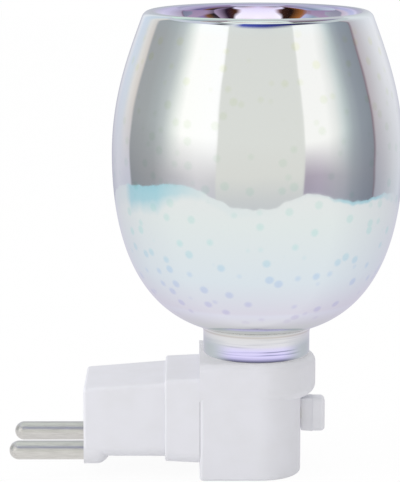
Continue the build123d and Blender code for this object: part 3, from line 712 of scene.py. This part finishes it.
        dot_scale = scale_of(self.dot_spacing)
        balls = add_node(tree, "TexVoronoi", {"Vector": place, "Scale": dot_scale, "Randomness": 0.8})
        cut = {"Value": balls, "From Min": self.dot_edge, "From Max": self.dot_core}
        spot = add_node(tree, "MapRange", cut, interpolation_type="SMOOTHSTEP")
        windows = add_node(tree, "Math", {0: spot, 1: dot_share}, operation="MULTIPLY")
        dotted = add_node(tree, "Mix", {"Factor": windows, 6: plated, 7: dot_tint}, data_type="RGBA")

        slow = add_node(tree, "TexNoise", {"Vector": place, "Scale": scale_of(self.wave_mm), "Detail": 1.0})
        fine = add_node(tree, "TexNoise", {"Vector": place, "Scale": scale_of(self.haze_mm), "Detail": 2.0})
        relief = {"Height": slow, "Strength": 0.6, "Distance": self.wave_depth * MM}
        feed(tree, shader, {
            "Base Color": dotted,
            "Metallic": 1.0,
            "Roughness": add_node(tree, "MapRange", {"Value": fine, "To Min": 0.03, "To Max": 0.07}),
            "Normal": add_node(tree, "Bump", relief),
        })
        return material

    def build(self) -> bpy.types.Object:
        """Builds the glass as one closed wall, dresses it and sets it on its body.

        Returns:
            The glass.
        """
        outside, inside = self.profiles()
        line = np.concatenate([outside, inside])
        out_length, in_length = path_length(outside), path_length(inside)
        lengths = np.concatenate([out_length, out_length[-1] * (1 - in_length / in_length[-1])])
        last = len(outside) - 1
        piece = surface_object(
            "blown_glass_shade", revolve(line, self.segments, self.axis_x), lengths,
            closed=True, gaps=[last], caps=[last, last + 1],
        )
        piece.visible_diffuse = False
        nodes = ("glass_neck", "glass_bowl", "glass_globe", "glass_dish")
        settle(piece, self.film(), Body.SHADE, "plated_glass", *nodes)
        return piece


@dataclass
class LampThread:
    """The lamp's drawn cap and the holder's shell, both rolled with one thread. Sizes in millimetres.

    The shell's groove is shallower than the gap between the two, so the cap clears it at every turn.
    """

    pitch: float = 2.822
    cap_depth: float = 0.45
    cap_sheet: float = 0.3
    cap_lip: float = 1.6
    cap_round: float = 0.7
    cap_plain_top: float = 3.8
    cap_run_out: float = 1.0
    cap_rings: int = 100
    shell_depth: float = 0.3
    shell_sheet: float = 0.35
    shell_height: float = 11.4
    shell_plain: float = 0.6
    shell_run_out: float = 0.8
    shell_rings: int = 80
    tail_width: float = 3.0
    tail_tip: float = 0.05
    segments: int = 96
    crease: float = 50.0

    def cap(self) -> bpy.types.Object:
        """Builds the cap: a cup of light-gauge sheet with a rolled-in foot, threaded up to the plain band
        below the glass.

        Returns:
            The cap.
        """
        low, high = node_box("bulb_cap")
        outer = (high[0] - low[0]) / 2
        inner = outer - self.cap_sheet
        floor, top, lip = low[2], high[2], inner - self.cap_lip
        corner = (outer - self.cap_round, floor + self.cap_round)
        line = joined([
            np.linspace((lip, floor), (corner[0], floor), num=4),
            arc(corner, self.cap_round, -90, 0, count=8),
            np.linspace((outer, corner[1]), (outer, top), self.cap_rings),
            np.linspace((inner, top), (inner, corner[1]), self.cap_rings),
            arc(corner, self.cap_round - self.cap_sheet, 0, -90, count=6),
            np.linspace((corner[0], floor + self.cap_sheet), (lip, floor + self.cap_sheet), num=4),
        ])
        thread = Thread(self.pitch, self.cap_depth, corner[1], top - self.cap_plain_top, self.cap_run_out)
        rings = revolve(line, self.segments, (low[0] + high[0]) / 2, thread)
        return surface_object("lamp_cap", rings, path_length(line), closed=True, crease=self.crease)

    def shell(self) -> bpy.types.Object:
        """Builds the shell: a tube of light-gauge sheet whose groove follows the cap's.

        Returns:
            The shell.
        """
        low, high = node_box("screw_shell")
        outer = (high[0] - low[0]) / 2
        inner = outer - self.shell_sheet
        floor, top = high[2] - self.shell_height, high[2]
        line = np.concatenate([
            np.linspace((outer, floor), (outer, top), self.shell_rings),
            np.linspace((inner, top), (inner, floor), self.shell_rings),
        ])
        start, end = floor + self.shell_plain, top - self.shell_plain
        thread = Thread(self.pitch, self.shell_depth, start, end, self.shell_run_out)
        rings = revolve(line, self.segments, (low[0] + high[0]) / 2, thread)
        return surface_object("shell_tube", rings, path_length(line), closed=True, crease=self.crease)

    def tail(self) -> bpy.types.Object:
        """Builds the shell's solder tail: a flat strip whose end narrows in a half round.

        Returns:
            The tail.
        """
        low, high = node_box("screw_shell")
        outer = (high[0] - low[0]) / 2
        floor = high[2] - self.shell_height
        half, back = self.tail_width / 2, self.shell_sheet / 2
        turn = np.linspace(np.pi / 2, 0.0, num=9)
        z = np.concatenate([low[2] + half * (1 - np.sin(turn)), [floor, floor + self.shell_sheet]])
        wide = np.concatenate([half * np.maximum(np.cos(turn), self.tail_tip), [half, half]])
        corners = np.array([(-1, -1), (1, -1), (1, 1), (-1, 1)])
        x = (low[0] + high[0]) / 2 + wide[:, None] * corners[:, 0]
        y = back - outer + back * corners[:, 1] + 0.0 * wide[:, None]
        rings = MM * np.stack([x, y, np.broadcast_to(z[:, None], x.shape)], axis=-1)
        lengths = path_length(np.stack([wide, z], axis=1))
        return surface_object("shell_tail", rings, lengths, caps=[0, len(z) - 1])

    def build(self, nickel: bpy.types.Material, brass: bpy.types.Material) -> list[bpy.types.Object]:
        """Builds and dresses the cap, the shell and its tail.

        Args:
            nickel: Finish of the cap.
            brass: Finish of the shell.

        Returns:
            The three pieces.
        """
        cap, shell, tail = self.cap(), self.shell(), self.tail()
        settle(cap, nickel, Body.BULB, "nickel", "bulb_cap")
        settle(shell, brass, Body.HOUSING, "brass", "screw_shell")
        settle(tail, brass, Body.HOUSING, "brass", "screw_shell")
        return [cap, shell, tail]


@dataclass
class Filament:
    """The coiled wire that arches between the lamp's two leads. Sizes in millimetres."""

    coil_radius: float = 0.22
    wire_radius: float = 0.07
    coil_pitch: float = 0.34
    steps_per_turn: int = 14
    sides: int = 6
    crease: float = 75.0

    def build(self, tungsten: bpy.types.Material) -> bpy.types.Object:
        """Winds the coil: a helix round a half circle, with a small ring of points at each step.

        The half circle runs from lead to lead. The helix is its point plus the coil's radius times cos p
        outwards and sin p sideways, for a phase p that grows evenly along it.

        Args:
            tungsten: Finish of the wire.

        Returns:
            The coil.
        """
        low, high = node_box("bulb_filament")
        thick = (high[1] - low[1]) / 2
        arch = (high[0] - low[0]) / 2 - thick
        centre = np.array([(low[0] + high[0]) / 2, 0.0, low[2]])
        turns = round(np.pi * arch / self.coil_pitch)
        share = np.linspace(0.0, 1.0, turns * self.steps_per_turn + 1)
        angle, phase = np.pi * (1 - share), 2 * np.pi * turns * share
        outwards = np.stack([np.cos(angle), 0 * angle, np.sin(angle)], axis=1)
        along = np.stack([np.sin(angle), 0 * angle, -np.cos(angle)], axis=1)
        sideways = np.array([0.0, 1.0, 0.0])
        spoke = np.cos(phase)[:, None] * outwards + np.sin(phase)[:, None] * sideways
        path = centre + arch * outwards + self.coil_radius * spoke
        way = np.gradient(path, axis=0)
        way /= np.linalg.norm(way, axis=1)[:, None]
        first = np.cross(way, along)
        first /= np.linalg.norm(first, axis=1)[:, None]
        second = np.cross(way, first)
        round_wire = np.linspace(0.0, 2 * np.pi, self.sides, endpoint=False)[None, :, None]
        ring = np.cos(round_wire) * first[:, None] + np.sin(round_wire) * second[:, None]
        rings = MM * (path[:, None] + self.wire_radius * ring)
        ends = [0, len(path) - 1]
        coil = surface_object("lamp_filament", rings, path_length(path), caps=ends, crease=self.crease)
        settle(coil, tungsten, Body.BULB, "tungsten", "bulb_filament")
        return coil


@dataclass
class CoverScrew:
    """The base cover's countersunk screws, with a cross recess and a rolled thread. Sizes in millimetres."""

    head_radius: float = 2.2
    head_edge: float = 0.06
    face_centre: float = 0.05
    face_rings: int = 30
    shank_radius: float = 1.25
    shank_rings: int = 70
    recess_reach: float = 1.4
    recess_fade: float = 0.5
    recess_half_width: float = 0.26
    recess_slope: float = 0.1
    recess_depth: float = 0.8
    pitch: float = 1.0
    depth: float = 0.28
    run_out: float = 0.6
    bare_tip: float = 0.56
    point: float = 1.4
    point_radius: float = 0.4375
    segments: int = 96
    crease: float = 40.0

    def screw(self, name: str, axis_x: float, low: float, high: float) -> bpy.types.Object:
        """Builds one screw, head down: a face with its recess, a cone, a threaded shank and a blunt point.

        The face is raised inwards by depth times the larger of two bars, each a step of the distance from an
        axis with sloping sides, and that fades out at the recess's reach.

        Args:
            name: Name of the piece.
            axis_x: Place of its axis along X.
            low: Height of the head's face.
            high: Height of the point.

        Returns:
            The screw.
        """
        sink = self.head_radius - self.shank_radius
        shank_end = (self.shank_radius, high - self.point)
        line = joined([
            np.linspace((self.face_centre, low), (self.head_radius - self.head_edge, low), self.face_rings),
            np.array([(self.head_radius, low + self.head_edge)]),
            np.linspace((self.shank_radius, low + sink), shank_end, self.shank_rings),
            np.linspace(shank_end, (self.point_radius, high), num=6),
        ])
        thread = Thread(self.pitch, self.depth, low + sink, high - self.bare_tip, self.run_out)
        rings = revolve(line, self.segments, axis_x, thread)
        face = rings[:self.face_rings]
        x, y = face[..., 0] / MM - axis_x, face[..., 1] / MM
        inside = self.recess_half_width + self.recess_slope - np.minimum(np.abs(x), np.abs(y))
        bars = np.clip(inside / self.recess_slope, 0, 1)
        fade = np.clip((self.recess_reach - np.hypot(x, y)) / self.recess_fade, 0, 1)
        face[..., 2] += MM * self.recess_depth * bars * fade
        ends = [0, len(line) - 1]
        return surface_object(name, rings, path_length(line), caps=ends, crease=self.crease)

    def build(self, steel: bpy.types.Material) -> list[bpy.types.Object]:
        """Builds and dresses the two screws.

        Args:
            steel: Finish of the screws.

        Returns:
            The two pieces.
        """
        low, high = node_box("cover_screws")
        places = {
            "cover_screw_back": low[0] + self.head_radius,
            "cover_screw_front": high[0] - self.head_radius,
        }
        screws = [self.screw(name, x, low[2], high[2]) for name, x in places.items()]
        for screw in screws:
            settle(screw, steel, Body.HOUSING, "steel", "cover_screws")
        return screws


Finish = Moulding | Metal | ClearGlass


@dataclass
class Dressing:
    """Finishes for the CAD nodes, and smooth copies of the ones that show."""

    white: Moulding = Moulding("white_abs", "E0E0E6", "DDDDE2")
    # The knob's white is the housing's white made lighter: painted light on the knob.
    knob: Moulding = Moulding("knob_white_with_painted_light", "E5E5EA", "E2E2E7", 0.36)
    cream: Moulding = Moulding("cream_pbt", "D9D6CA", "D2CEC0", 0.5)
    rotor: Moulding = Moulding("natural_nylon", "D2D1C8", "C8C7BC", 0.45)
    nickel: Metal = Metal("nickel_plated_brass", "D4D2CE", "C4C2BE", 0.36)
    brass: Metal = Metal("pressed_brass", "D2B26A", "B3924E", 0.28)
    steel: Metal = Metal("zinc_plated_steel", "B9BCC0", "9EA2A8", 0.3)
    solder: Metal = Metal("soft_solder", "B5B6BA", "94969B", 0.38)
    tungsten: Metal = Metal("drawn_tungsten", "8C8884", "6E6B68", 0.35)
    brown: Moulding = Moulding("brown_pvc", "5A3A24", "4C301D", 0.45)
    blue: Moulding = Moulding("blue_pvc", "2F5DA8", "284F92", 0.45)
    black: Moulding = Moulding("black_cap_glass", "17171A", "101013", 0.2)
    glass: ClearGlass = ClearGlass("lamp_glass")
    tower_half: float = 14.95
    ring_low: float = 14.5
    ring_high: float = 21.2
    made: dict[str, bpy.types.Material] = field(default_factory=dict)

    def material(self, finish: Finish) -> bpy.types.Material:
        """Builds a finish once.

        Args:
            finish: The finish.

        Returns:
            Its material.
        """
        if finish.name not in self.made:
            self.made[finish.name] = finish.build()
        return self.made[finish.name]

    def flush_ring(self, points: np.ndarray) -> np.ndarray:
        """Draws the sides of the tower's top ring in, so that they run flush into the walls below.

        Past the tower's half width h, |y| becomes h + (|y| - h) s, where s rises evenly with the height from
        0 at the ring's underside to 1 at its top.

        Args:
            points: Points of the tower in metres.

        Returns:
            The moved points.
        """
        half, low, high = MM * self.tower_half, MM * self.ring_low, MM * self.ring_high
        share = np.clip((points[:, 2] - low) / (high - low), 0.0, 1.0)
        proud = np.maximum(np.abs(points[:, 1]) - half, 0.0)
        moved = points.copy()
        moved[:, 1] -= np.sign(points[:, 1]) * proud * (1.0 - share)
        return moved

    def table(self) -> dict[str, tuple[Finish, str, Body]]:
        """Lists what each CAD node gets.

        Returns:
            Finish, name of the smooth copy, which is empty where none is made, and body, for each node.
        """
        housing, knob, bulb, foot = Body.HOUSING, Body.KNOB, Body.BULB, Body.BULB_FOOT
        return {
            "tower_housing": (self.white, "tower_moulding", housing),
            "bottom_cover": (self.white, "base_cover", housing),
            "plug_housing": (self.white, "plug_arm", housing),
            "line_pin": (self.nickel, "pin_left", housing),
            "neutral_pin": (self.nickel, "pin_right", housing),
            "switch_knob": (self.knob, "turn_knob", knob),
            "lamp_holder": (self.cream, "holder_cup", housing),
            "switch_body": (self.cream, "switch_cup", housing),
            "switch_back_cover": (self.cream, "", housing),
            "holder_screws": (self.steel, "", housing),
            "line_terminal": (self.brass, "", housing),
            "neutral_terminal": (self.brass, "", housing),
            "centre_contact": (self.brass, "", housing),
            "switch_contacts": (self.brass, "", housing),
            "switch_bridge": (self.brass, "", knob),
            "switch_rotor": (self.rotor, "", knob),
            "switch_spindle": (self.rotor, "", knob),
            "line_wire": (self.brown, "", housing),
            "switched_wire": (self.brown, "", housing),
            "neutral_wire": (self.blue, "", housing),
            "bulb_tip_contact": (self.solder, "tip_solder", foot),
            "bulb_insulator": (self.black, "cap_insulator", bulb),
            "bulb_envelope": (self.glass, "lamp_envelope", bulb),
            "bulb_stem": (self.glass, "lamp_stem", bulb),
            "bulb_leads": (self.steel, "lamp_leads", bulb),
        }

    def build(self) -> list[bpy.types.Object]:
        """Dresses every node, on a smooth copy where it has one.

        Returns:
            The dressed objects.
        """
        slots = {part["node"]: part["material_slot"] for part in frame["record"]["subparts"]}
        pieces = []
        for node, (finish, name, body) in self.table().items():
            material = self.material(finish)
            if name:
                piece = smooth_copy(node, name, self.flush_ring if node == "tower_housing" else None)
                settle(piece, material, body, slots[node], node)
            else:
                piece = frame["nodes"][node]
                piece.data.materials.clear()
                piece.data.materials.append(material)
                piece.visible_glossy = body.mirrored
            pieces.append(piece)
        return pieces


def by_bearing(curve: Curve, bearing: np.ndarray) -> np.ndarray:
    """Reads a curve of values over bearings in degrees at other bearings, which are in radians."""
    return np.interp(np.degrees(bearing), *np.array(curve).T)


def turned_tones(
    tree: bpy.types.NodeTree, axes: bpy.types.Node, bands: Sequence[Tones]
) -> list[bpy.types.Node]:
    """Adds colours that follow the bearing of a vector, measured from the object's front.

    Args:
        tree: Node tree that takes the nodes.
        axes: Node with the vector's three parts.
        bands: For each colour, bearings in degrees and hex tones.

    Returns:
        One colour ramp for each band.
    """
    front = add_node(tree, "Math", {0: axes.outputs["Y"], 1: -1.0}, operation="MULTIPLY")
    bearing = add_node(tree, "Math", {0: axes.outputs["X"], 1: front}, operation="ARCTAN2")
    turn = add_node(tree, "MapRange", {"Value": bearing, "From Min": -math.pi, "From Max": math.pi})
    return [
        add_node(tree, "ValToRGB", {"Fac": turn}, [(angle / 360 + 0.5, linear(tone)) for angle, tone in band])
        for band in bands
    ]


@dataclass
class Studio:
    """Floor, cards, light and camera. Sizes in millimetres, angles in degrees, bearings from the front."""

    axis_x: float = 44.0
    floor_height: float = -6.85
    floor_reach: float = 1500.0
    floor_white: float = 0.94
    speck_mm: float = 25.0
    table_steps: int = 720
    table_soft: int = 12
    table_gain: float = 1.02
    table_ripples: tuple[tuple[float, float, float], ...] = ((3.0, 23, 0.0), (2.0, 41, 1.0))
    table_edge: Curve = (
        (-180, 390), (-118, 400), (-91, 393), (-63, 423), (-53, 409), (-37, 325), (-20, 263), (-7, 256),
        (8, 260), (24, 294), (40, 341), (54, 314), (68, 299), (82, 297), (95, 314), (118, 355), (180, 390),
    )
    edge_tone: str = "AEE4F2"
    edge_tint: tuple[tuple[float, float, float], ...] = (
        (-180, 60, 0.1), (-126, 100, 0.2), (-118, 150, 0.95), (-84, 170, 0.95), (-58, 120, 0.5),
        (-40, 60, 0.12), (20, 40, 0.0), (52, 20, 0.15), (66, 20, 0.8), (104, 22, 1.0), (116, 30, 0.5),
        (130, 50, 0.15), (180, 60, 0.1),
    )
    far_tone: str = "C0BBCF"
    far_shade: Curve = (
        (-180, 0.92), (-168, 0.7), (-152, 0.52), (-132, 0.34), (-105, 0.14), (-66, 0.0), (56, 0.0),
        (80, 0.14), (105, 0.27), (132, 0.44), (152, 0.6), (168, 0.8), (180, 1.0),
    )
    camera_place: tuple[float, float, float] = (27.0, -559.0, 153.4)
    camera_pitch: float = 10.25
    camera_yaw: float = 0.26
    focal_pixels: float = 2230.0
    image_height: float = 482.0
    sensor: float = 36.0
    lamp_place: tuple[float, float, float] = (-540.0, -265.0, 235.0)
    lamp_target: tuple[float, float, float] = (20.0, 0.0, 10.0)
    lamp_size: float = 420.0
    lamp_watts: float = 0.95
    dome: float = 0.88
    dome_rise: float = 0.54
    dome_lean: float = -0.32
    card_gain: float = 1.3
    skirt: Tones = (
        (-180, "9E9EAA"), (-162, "B4B4C0"), (-145, "C8C8D2"), (-122, "C4C4D0"), (-120, "8C8F94"),
        (-90, "9A9B9F"), (-70, "BCBBC0"), (-50, "D2D0D4"), (-34, "CECDD0"), (-32.5, "D6D7D3"),
        (35, "D6D7D3"), (36.5, "A8A0AE"), (48, "B0A8B6"), (62, "AEACB4"), (70, "A8A8B0"), (78, "969AA2"),
        (90, "888C96"), (101, "80848E"), (103, "80747E"), (105, "A8A8B2"), (118, "B6B6BE"), (132, "C6C8CE"),
        (148, "CCCED6"), (164, "B4B4C0"), (180, "9E9EAA"),
    )
    cards: Tones = (
        (-180, "B2B3BC"), (-168, "C0C1CA"), (-161, "DEE0E6"), (-151, "CAD3E0"), (-140, "CCD4DE"),
        (-132, "DCD9D6"), (-123, "D2CCC8"), (-120, "9EA1A4"), (-104, "A0A4A6"), (-92, "A8AEB0"),
        (-82, "BAC0C1"), (-77, "CED4D2"), (-71, "E8ECE8"), (-64, "FFFFFC"), (-34, "FFFFFF"),
        (-32.5, "D9DBD7"), (35, "D9DBD7"), (36.5, "F6F6F4"), (56, "F6F6F4"), (64, "E6E8E6"), (70, "CED6D6"),
        (75, "B4BEC0"), (80, "A0A8AE"), (88, "8F969F"), (101, "868D96"), (103, "84707A"), (105, "B8B2B8"),
        (118, "C8C7CC"), (134, "D9DADF"), (148, "DFE0E5"), (166, "CED0D6"), (180, "B2B3BC"),
    )
    ceiling: Tones = (
        (-180, "C8CED0"), (-60, "C8C8D8"), (-46, "2A2C34"), (-30, "D8DAE0"), (-20, "4A54AC"),
        (30, "1E226C"), (50, "2C2A40"), (64, "706E80"), (84, "C0C4C8"), (180, "C8CED0"),
    )
    zenith: str = "DFE6E3"
    foot_shade: str = "EAE9F2"
    cards_rise: tuple[float, float] = (-0.16, 0.08)
    ceiling_rise: tuple[float, float] = (0.59, 0.63)
    zenith_rise: tuple[float, float] = (0.80, 0.87)
    foot_fall: tuple[float, float] = (-0.15, -0.33)
    ring_steps: int = 144
    ring_radius: float = 60.0
    ring_reach: float = 78.0
    ring_rise: tuple[float, float] = (138.0, 320.0)
    ring_fold: Curve = (
        (-180, 152), (-78, 152), (-60, 310), (-51, 230), (-42, 180), (-28, 160), (0, 142), (24, 160),
        (36, 180), (45, 230), (52, 310), (66, 152), (180, 152),
    )
    ring_edge: Tones = (
        (-180, "A898A8"), (-88, "A898A8"), (-72, "9A6430"), (-56, "20140E"), (-40, "3A2418"),
        (-24, "C09488"), (0, "E4D8E6"), (20, "B89080"), (32, "4A2C18"), (48, "2A1C2A"), (64, "A898A8"),
        (180, "A898A8"),
    )
    ring_tones: Tones = (
        (-180, "E4F0EA"), (-120, "D0E4DC"), (-96, "8CA4A8"), (-77, "B8C0D8"), (-72, "E8E4F4"),
        (-61, "2A2038"), (-53, "FFFFFF"), (45, "FFFFFF"), (53, "1C140C"), (70, "1C1816"), (81, "7A5428"),
        (90, "8A7AA0"), (100, "6A6C88"), (120, "C4C0CC"), (180, "E4F0EA"),
    )

    def camera(self) -> None:
        """Sets the camera at the height, distance and focal length that the object's edges give."""
        data = bpy.data.cameras.new("camera")
        data.lens = self.sensor * self.focal_pixels / self.image_height
        data.clip_start = 0.01
        eye = bpy.data.objects.new("camera", data)
        eye.location = [MM * value for value in self.camera_place]
        eye.rotation_euler = (math.radians(90 - self.camera_pitch), 0.0, math.radians(-self.camera_yaw))
        bpy.context.scene.collection.objects.link(eye)
        bpy.context.scene.camera = eye

    def card(
        self,
        name: str,
        finish: str,
        points: np.ndarray,
        faces: Sequence[Sequence[int]],
        unseen_by: Sequence[str],
        **shares: np.ndarray,
    ) -> bpy.types.NodeTree:
        """Sets up a studio card whose material still lacks its shader.

        Args:
            name: Name of the card.
            finish: Name of its material.
            points: Its points in metres, shape (n, 3).
            faces: Its faces.
            unseen_by: Kinds of rays that pass it by.
            shares: Values of its point attributes.

        Returns:
            The material's node tree, which holds only the output.
        """
        mesh = bpy.data.meshes.new(name)
        mesh.from_pydata(points.tolist(), [], faces)
        for attribute, values in shares.items():
            mesh.attributes.new(attribute, "FLOAT", "POINT").data.foreach_set("value", values.reshape(-1))
        card = bpy.data.objects.new(name, mesh)
        bpy.context.scene.collection.objects.link(card)
        for rays in unseen_by:
            setattr(card, f"visible_{rays}", False)
        material, tree, shader = new_material(finish)
        tree.nodes.remove(shader)
        mesh.materials.append(material)
        return tree

    def band(
        self, radius: np.ndarray | float, bearing: np.ndarray, height: np.ndarray | float
    ) -> tuple[np.ndarray, list[list[int]]]:
        """Rows of points round the axis: x = axis + r sin b, y = -r cos b, z = height, for bearings b.

        Args:
            radius: Radii r, one for all points or one for each.
            bearing: Bearings in radians, one for each column.
            height: Heights, one for all points or one for each.

        Returns:
            Points in metres, shape (n, 3), row after row, and the quads between neighbouring rows.
        """
        radius, height = np.broadcast_arrays(radius, height)
        x, y = self.axis_x + radius * np.sin(bearing), -radius * np.cos(bearing)
        index = np.arange(radius.size).reshape(radius.shape)
        after = np.roll(index, -1, axis=1)
        quads = np.stack([index[:-1], after[:-1], after[1:], index[1:]], axis=-1)
        return MM * np.stack([x, y, height], axis=-1).reshape(-1, 3), quads.reshape(-1, 4).tolist()

    def floor(self) -> None:
        """Lays a pale card for light and shadow. It is nearly white to the camera, and clear from below."""
        reach = self.floor_reach
        corners = [(-reach, -reach), (reach, -reach), (reach, reach), (-reach, reach)]
        points = MM * np.array([(x, y, self.floor_height) for x, y in corners])
        tree = self.card("floor", "matt_white_card", points, [(0, 1, 2, 3)], ("glossy",))
        place = add_node(tree, "TexCoord").outputs["Object"]
        speck = add_node(tree, "TexNoise", {"Vector": place, "Scale": scale_of(self.speck_mm)})
        tones = [(0.3, linear("F8F8F8")), (0.7, linear("FBFBFB"))]
        matt = add_node(tree, "BsdfDiffuse", {"Color": add_node(tree, "ValToRGB", {"Fac": speck}, tones)})
        camera = add_node(tree, "LightPath").outputs["Is Camera Ray"]
        share = add_node(tree, "Math", {0: camera, 1: self.floor_white}, operation="MULTIPLY")
        both = add_node(tree, "MixShader", {0: share, 1: matt, 2: add_node(tree, "Emission")})
        below = add_node(tree, "NewGeometry").outputs["Backfacing"]
        seen = add_node(tree, "MixShader", {0: below, 1: both, 2: add_node(tree, "BsdfTransparent")})
        feed(tree, tree.nodes["Material Output"], {"Surface": seen})

    def table_top(self) -> None:
        """Lays the table top that only mirrors show: pale, with a tinted edge and a shaded far side.

        The edge's radius follows the bearing b and is smoothed over some steps. Each ripple adds its size
        times the sine of its count times b plus its phase. The other rows of points lie inside the edge:
        within its tint, where the tint ends, halfway in and near the centre.
        """
        bearing = np.radians(np.linspace(-180.0, 180.0, self.table_steps, endpoint=False))
        edge = by_bearing(self.table_edge, bearing)
        weights = np.hanning(2 * self.table_soft + 1)
        wrapped = np.concatenate([edge[-self.table_soft:], edge, edge[:self.table_soft]])
        edge = np.convolve(wrapped, weights / weights.sum(), "valid")
        edge += sum(size * np.sin(count * bearing + phase) for size, count, phase in self.table_ripples)
        knots, widths, shares = np.array(self.edge_tint).T
        inner = edge - np.interp(np.degrees(bearing), knots, widths)
        radii = np.stack([edge, 0.4 * edge + 0.6 * inner, inner, 0.5 * inner, 0.02 * inner])
        tint = np.zeros_like(radii)
        tint[:2] = np.interp(np.degrees(bearing), knots, shares) * np.array([[1.0], [0.85]])
        shade = np.broadcast_to(by_bearing(self.far_shade, bearing), radii.shape)
        points, faces = self.band(radii, bearing, self.floor_height)
        faces.append(list(range(len(points) - self.table_steps, len(points))))
        tree = self.card(
            "table_top", "table_top_sheen", points, faces, MIRROR_ONLY, edge_tint=tint, far_shade=shade
        )
        near, far = (
            add_node(tree, "Attribute", attribute_name=name).outputs["Fac"]
            for name in ("edge_tint", "far_shade")
        )
        tones = [(0.0, linear("FFFFFF")), (1.0, linear(self.edge_tone))]
        sheen = add_node(tree, "ValToRGB", {"Fac": near}, tones)
        tone = add_node(tree, "Mix", {"Factor": far, 6: sheen, 7: linear(self.far_tone)}, data_type="RGBA")
        glow = add_node(tree, "Emission", {"Color": tone, "Strength": self.table_gain})
        feed(tree, tree.nodes["Material Output"], {"Surface": glow})

    def dish_ring(self) -> None:
        """Hangs a ring of card above the rim that only the dish mirrors: dark on two sides, white in front.

        It has four rows of points. The third is a fold whose height follows the bearing, and the tones change
        there from the card's to those of its edges. Rays that come from nearer than the dish's far wall pass
        through it.
        """
        bearing = np.radians(np.linspace(-180.0, 180.0, self.ring_steps, endpoint=False))
        fold = by_bearing(self.ring_fold, bearing)
        low, top = self.ring_rise
        rise = np.stack([np.full_like(fold, low), 0.4 * low + 0.6 * fold, fold, np.full_like(fold, top)])
        tinted = np.zeros_like(rise)
        tinted[[0, 1, 3]] = 1.0
        points, faces = self.band(self.ring_radius, bearing, rise)
        tree = self.card("dish_ring", "ring_card", points, faces, MIRROR_ONLY, edge_share=tinted)
        place = add_node(tree, "TexCoord").outputs["Object"]
        centred = add_node(tree, "Mapping", {"Vector": place, "Location": (-MM * self.axis_x, 0.0, 0.0)})
        axes = add_node(tree, "SeparateXYZ", {"Vector": centred})
        card_tone, edge_tone = turned_tones(tree, axes, (self.ring_tones, self.ring_edge))
        near_edge = add_node(tree, "Attribute", attribute_name="edge_share").outputs["Fac"]
        tone = add_node(tree, "Mix", {"Factor": near_edge, 6: card_tone, 7: edge_tone}, data_type="RGBA")
        glow = add_node(tree, "Emission", {"Color": tone, "Strength": self.card_gain})
        length = add_node(tree, "LightPath").outputs["Ray Length"]
        far = add_node(tree, "Math", {0: length, 1: MM * self.ring_reach}, operation="GREATER_THAN")
        seen = add_node(tree, "MixShader", {0: far, 1: add_node(tree, "BsdfTransparent"), 2: glow})
        feed(tree, tree.nodes["Material Output"], {"Surface": seen})

    def room(self) -> None:
        """Surrounds the object with a soft dome, and mirrors with a studio of grey cards and soft boxes.

        The camera sees white. Diffuse light comes from a dome that is brighter above and on the left.
        A mirror sees three bands of cards, below the horizon, above it and overhead, whose tones follow the
        bearing, and a soft box straight above. A tint multiplies the lowest band towards the ground.
        """
        world = bpy.data.worlds.new("studio")
        bpy.context.scene.world = world
        world.use_nodes = True
        tree = world.node_tree
        tree.nodes.clear()
        way = add_node(tree, "TexCoord").outputs["Generated"]
        axes = add_node(tree, "SeparateXYZ", {"Vector": way})
        x, z = axes.outputs["X"], axes.outputs["Z"]
        mirrored, cards, ceiling = turned_tones(tree, axes, (self.skirt, self.cards, self.ceiling))
        layers = (
            (cards, self.cards_rise, "MIX"),
            (ceiling, self.ceiling_rise, "MIX"),
            (linear(self.zenith), self.zenith_rise, "MIX"),
            (linear(self.foot_shade), self.foot_fall, "MULTIPLY"),
        )
        for layer, (low, high), blend in layers:
            share = add_node(tree, "MapRange", {"Value": z, "From Min": low, "From Max": high})
            inputs = {"Factor": share, 6: mirrored, 7: layer}
            mirrored = add_node(tree, "Mix", inputs, data_type="RGBA", blend_type=blend)
        lean = add_node(tree, "Math", {0: x, 1: self.dome_lean, 2: self.dome}, operation="MULTIPLY_ADD")
        dome = add_node(tree, "Math", {0: z, 1: self.dome_rise, 2: lean}, operation="MULTIPLY_ADD")
        path = add_node(tree, "LightPath").outputs
        soft = add_node(tree, "Background", {"Strength": dome})
        cards_seen = add_node(tree, "Background", {"Color": mirrored, "Strength": self.card_gain})
        white = add_node(tree, "Background", {"Color": linear("FFFFFF")})
        through = {0: path["Is Camera Ray"], 1: path["Is Transmission Ray"]}
        clear = add_node(tree, "Math", through, operation="MAXIMUM")
        lit = add_node(tree, "MixShader", {0: path["Is Glossy Ray"], 1: soft, 2: cards_seen})
        seen = add_node(tree, "MixShader", {0: clear, 1: lit, 2: white})
        add_node(tree, "OutputWorld", {"Surface": seen})

    def soft_box(self) -> None:
        """Sets the one lamp, on the left, which mirrors don't show."""
        lamp = bpy.data.lights.new("soft_box", "AREA")
        lamp.shape = "SQUARE"
        lamp.size = MM * self.lamp_size
        lamp.energy = self.lamp_watts
        box = bpy.data.objects.new("soft_box", lamp)
        box.location = MM * Vector(self.lamp_place)
        aim = MM * Vector(self.lamp_target) - box.location
        box.rotation_euler = aim.to_track_quat("-Z", "Y").to_euler()
        box.visible_glossy = False
        bpy.context.scene.collection.objects.link(box)

    def build(self) -> None:
        """Sets up camera, cards, light and the plain colour transform."""
        self.camera()
        self.floor()
        self.table_top()
        self.dish_ring()
        self.room()
        self.soft_box()
        bpy.context.scene.view_settings.view_transform = "Standard"


def main() -> None:
    """Builds the object's sub-assemblies in order and reports each piece."""
    logging.basicConfig(level=logging.INFO, format="%(name)s: %(message)s")
    dressing = Dressing()
    pieces = [GlassShade().build(), *dressing.build()]
    pieces += LampThread().build(dressing.material(dressing.nickel), dressing.material(dressing.brass))
    pieces.append(Filament().build(dressing.material(dressing.tungsten)))
    pieces += CoverScrew().build(dressing.material(dressing.steel))
    for piece in pieces:
        LOG.info("%s: %d faces", piece.name, len(piece.data.polygons))
    Studio().build()


if __name__ == "__main__":
    main()
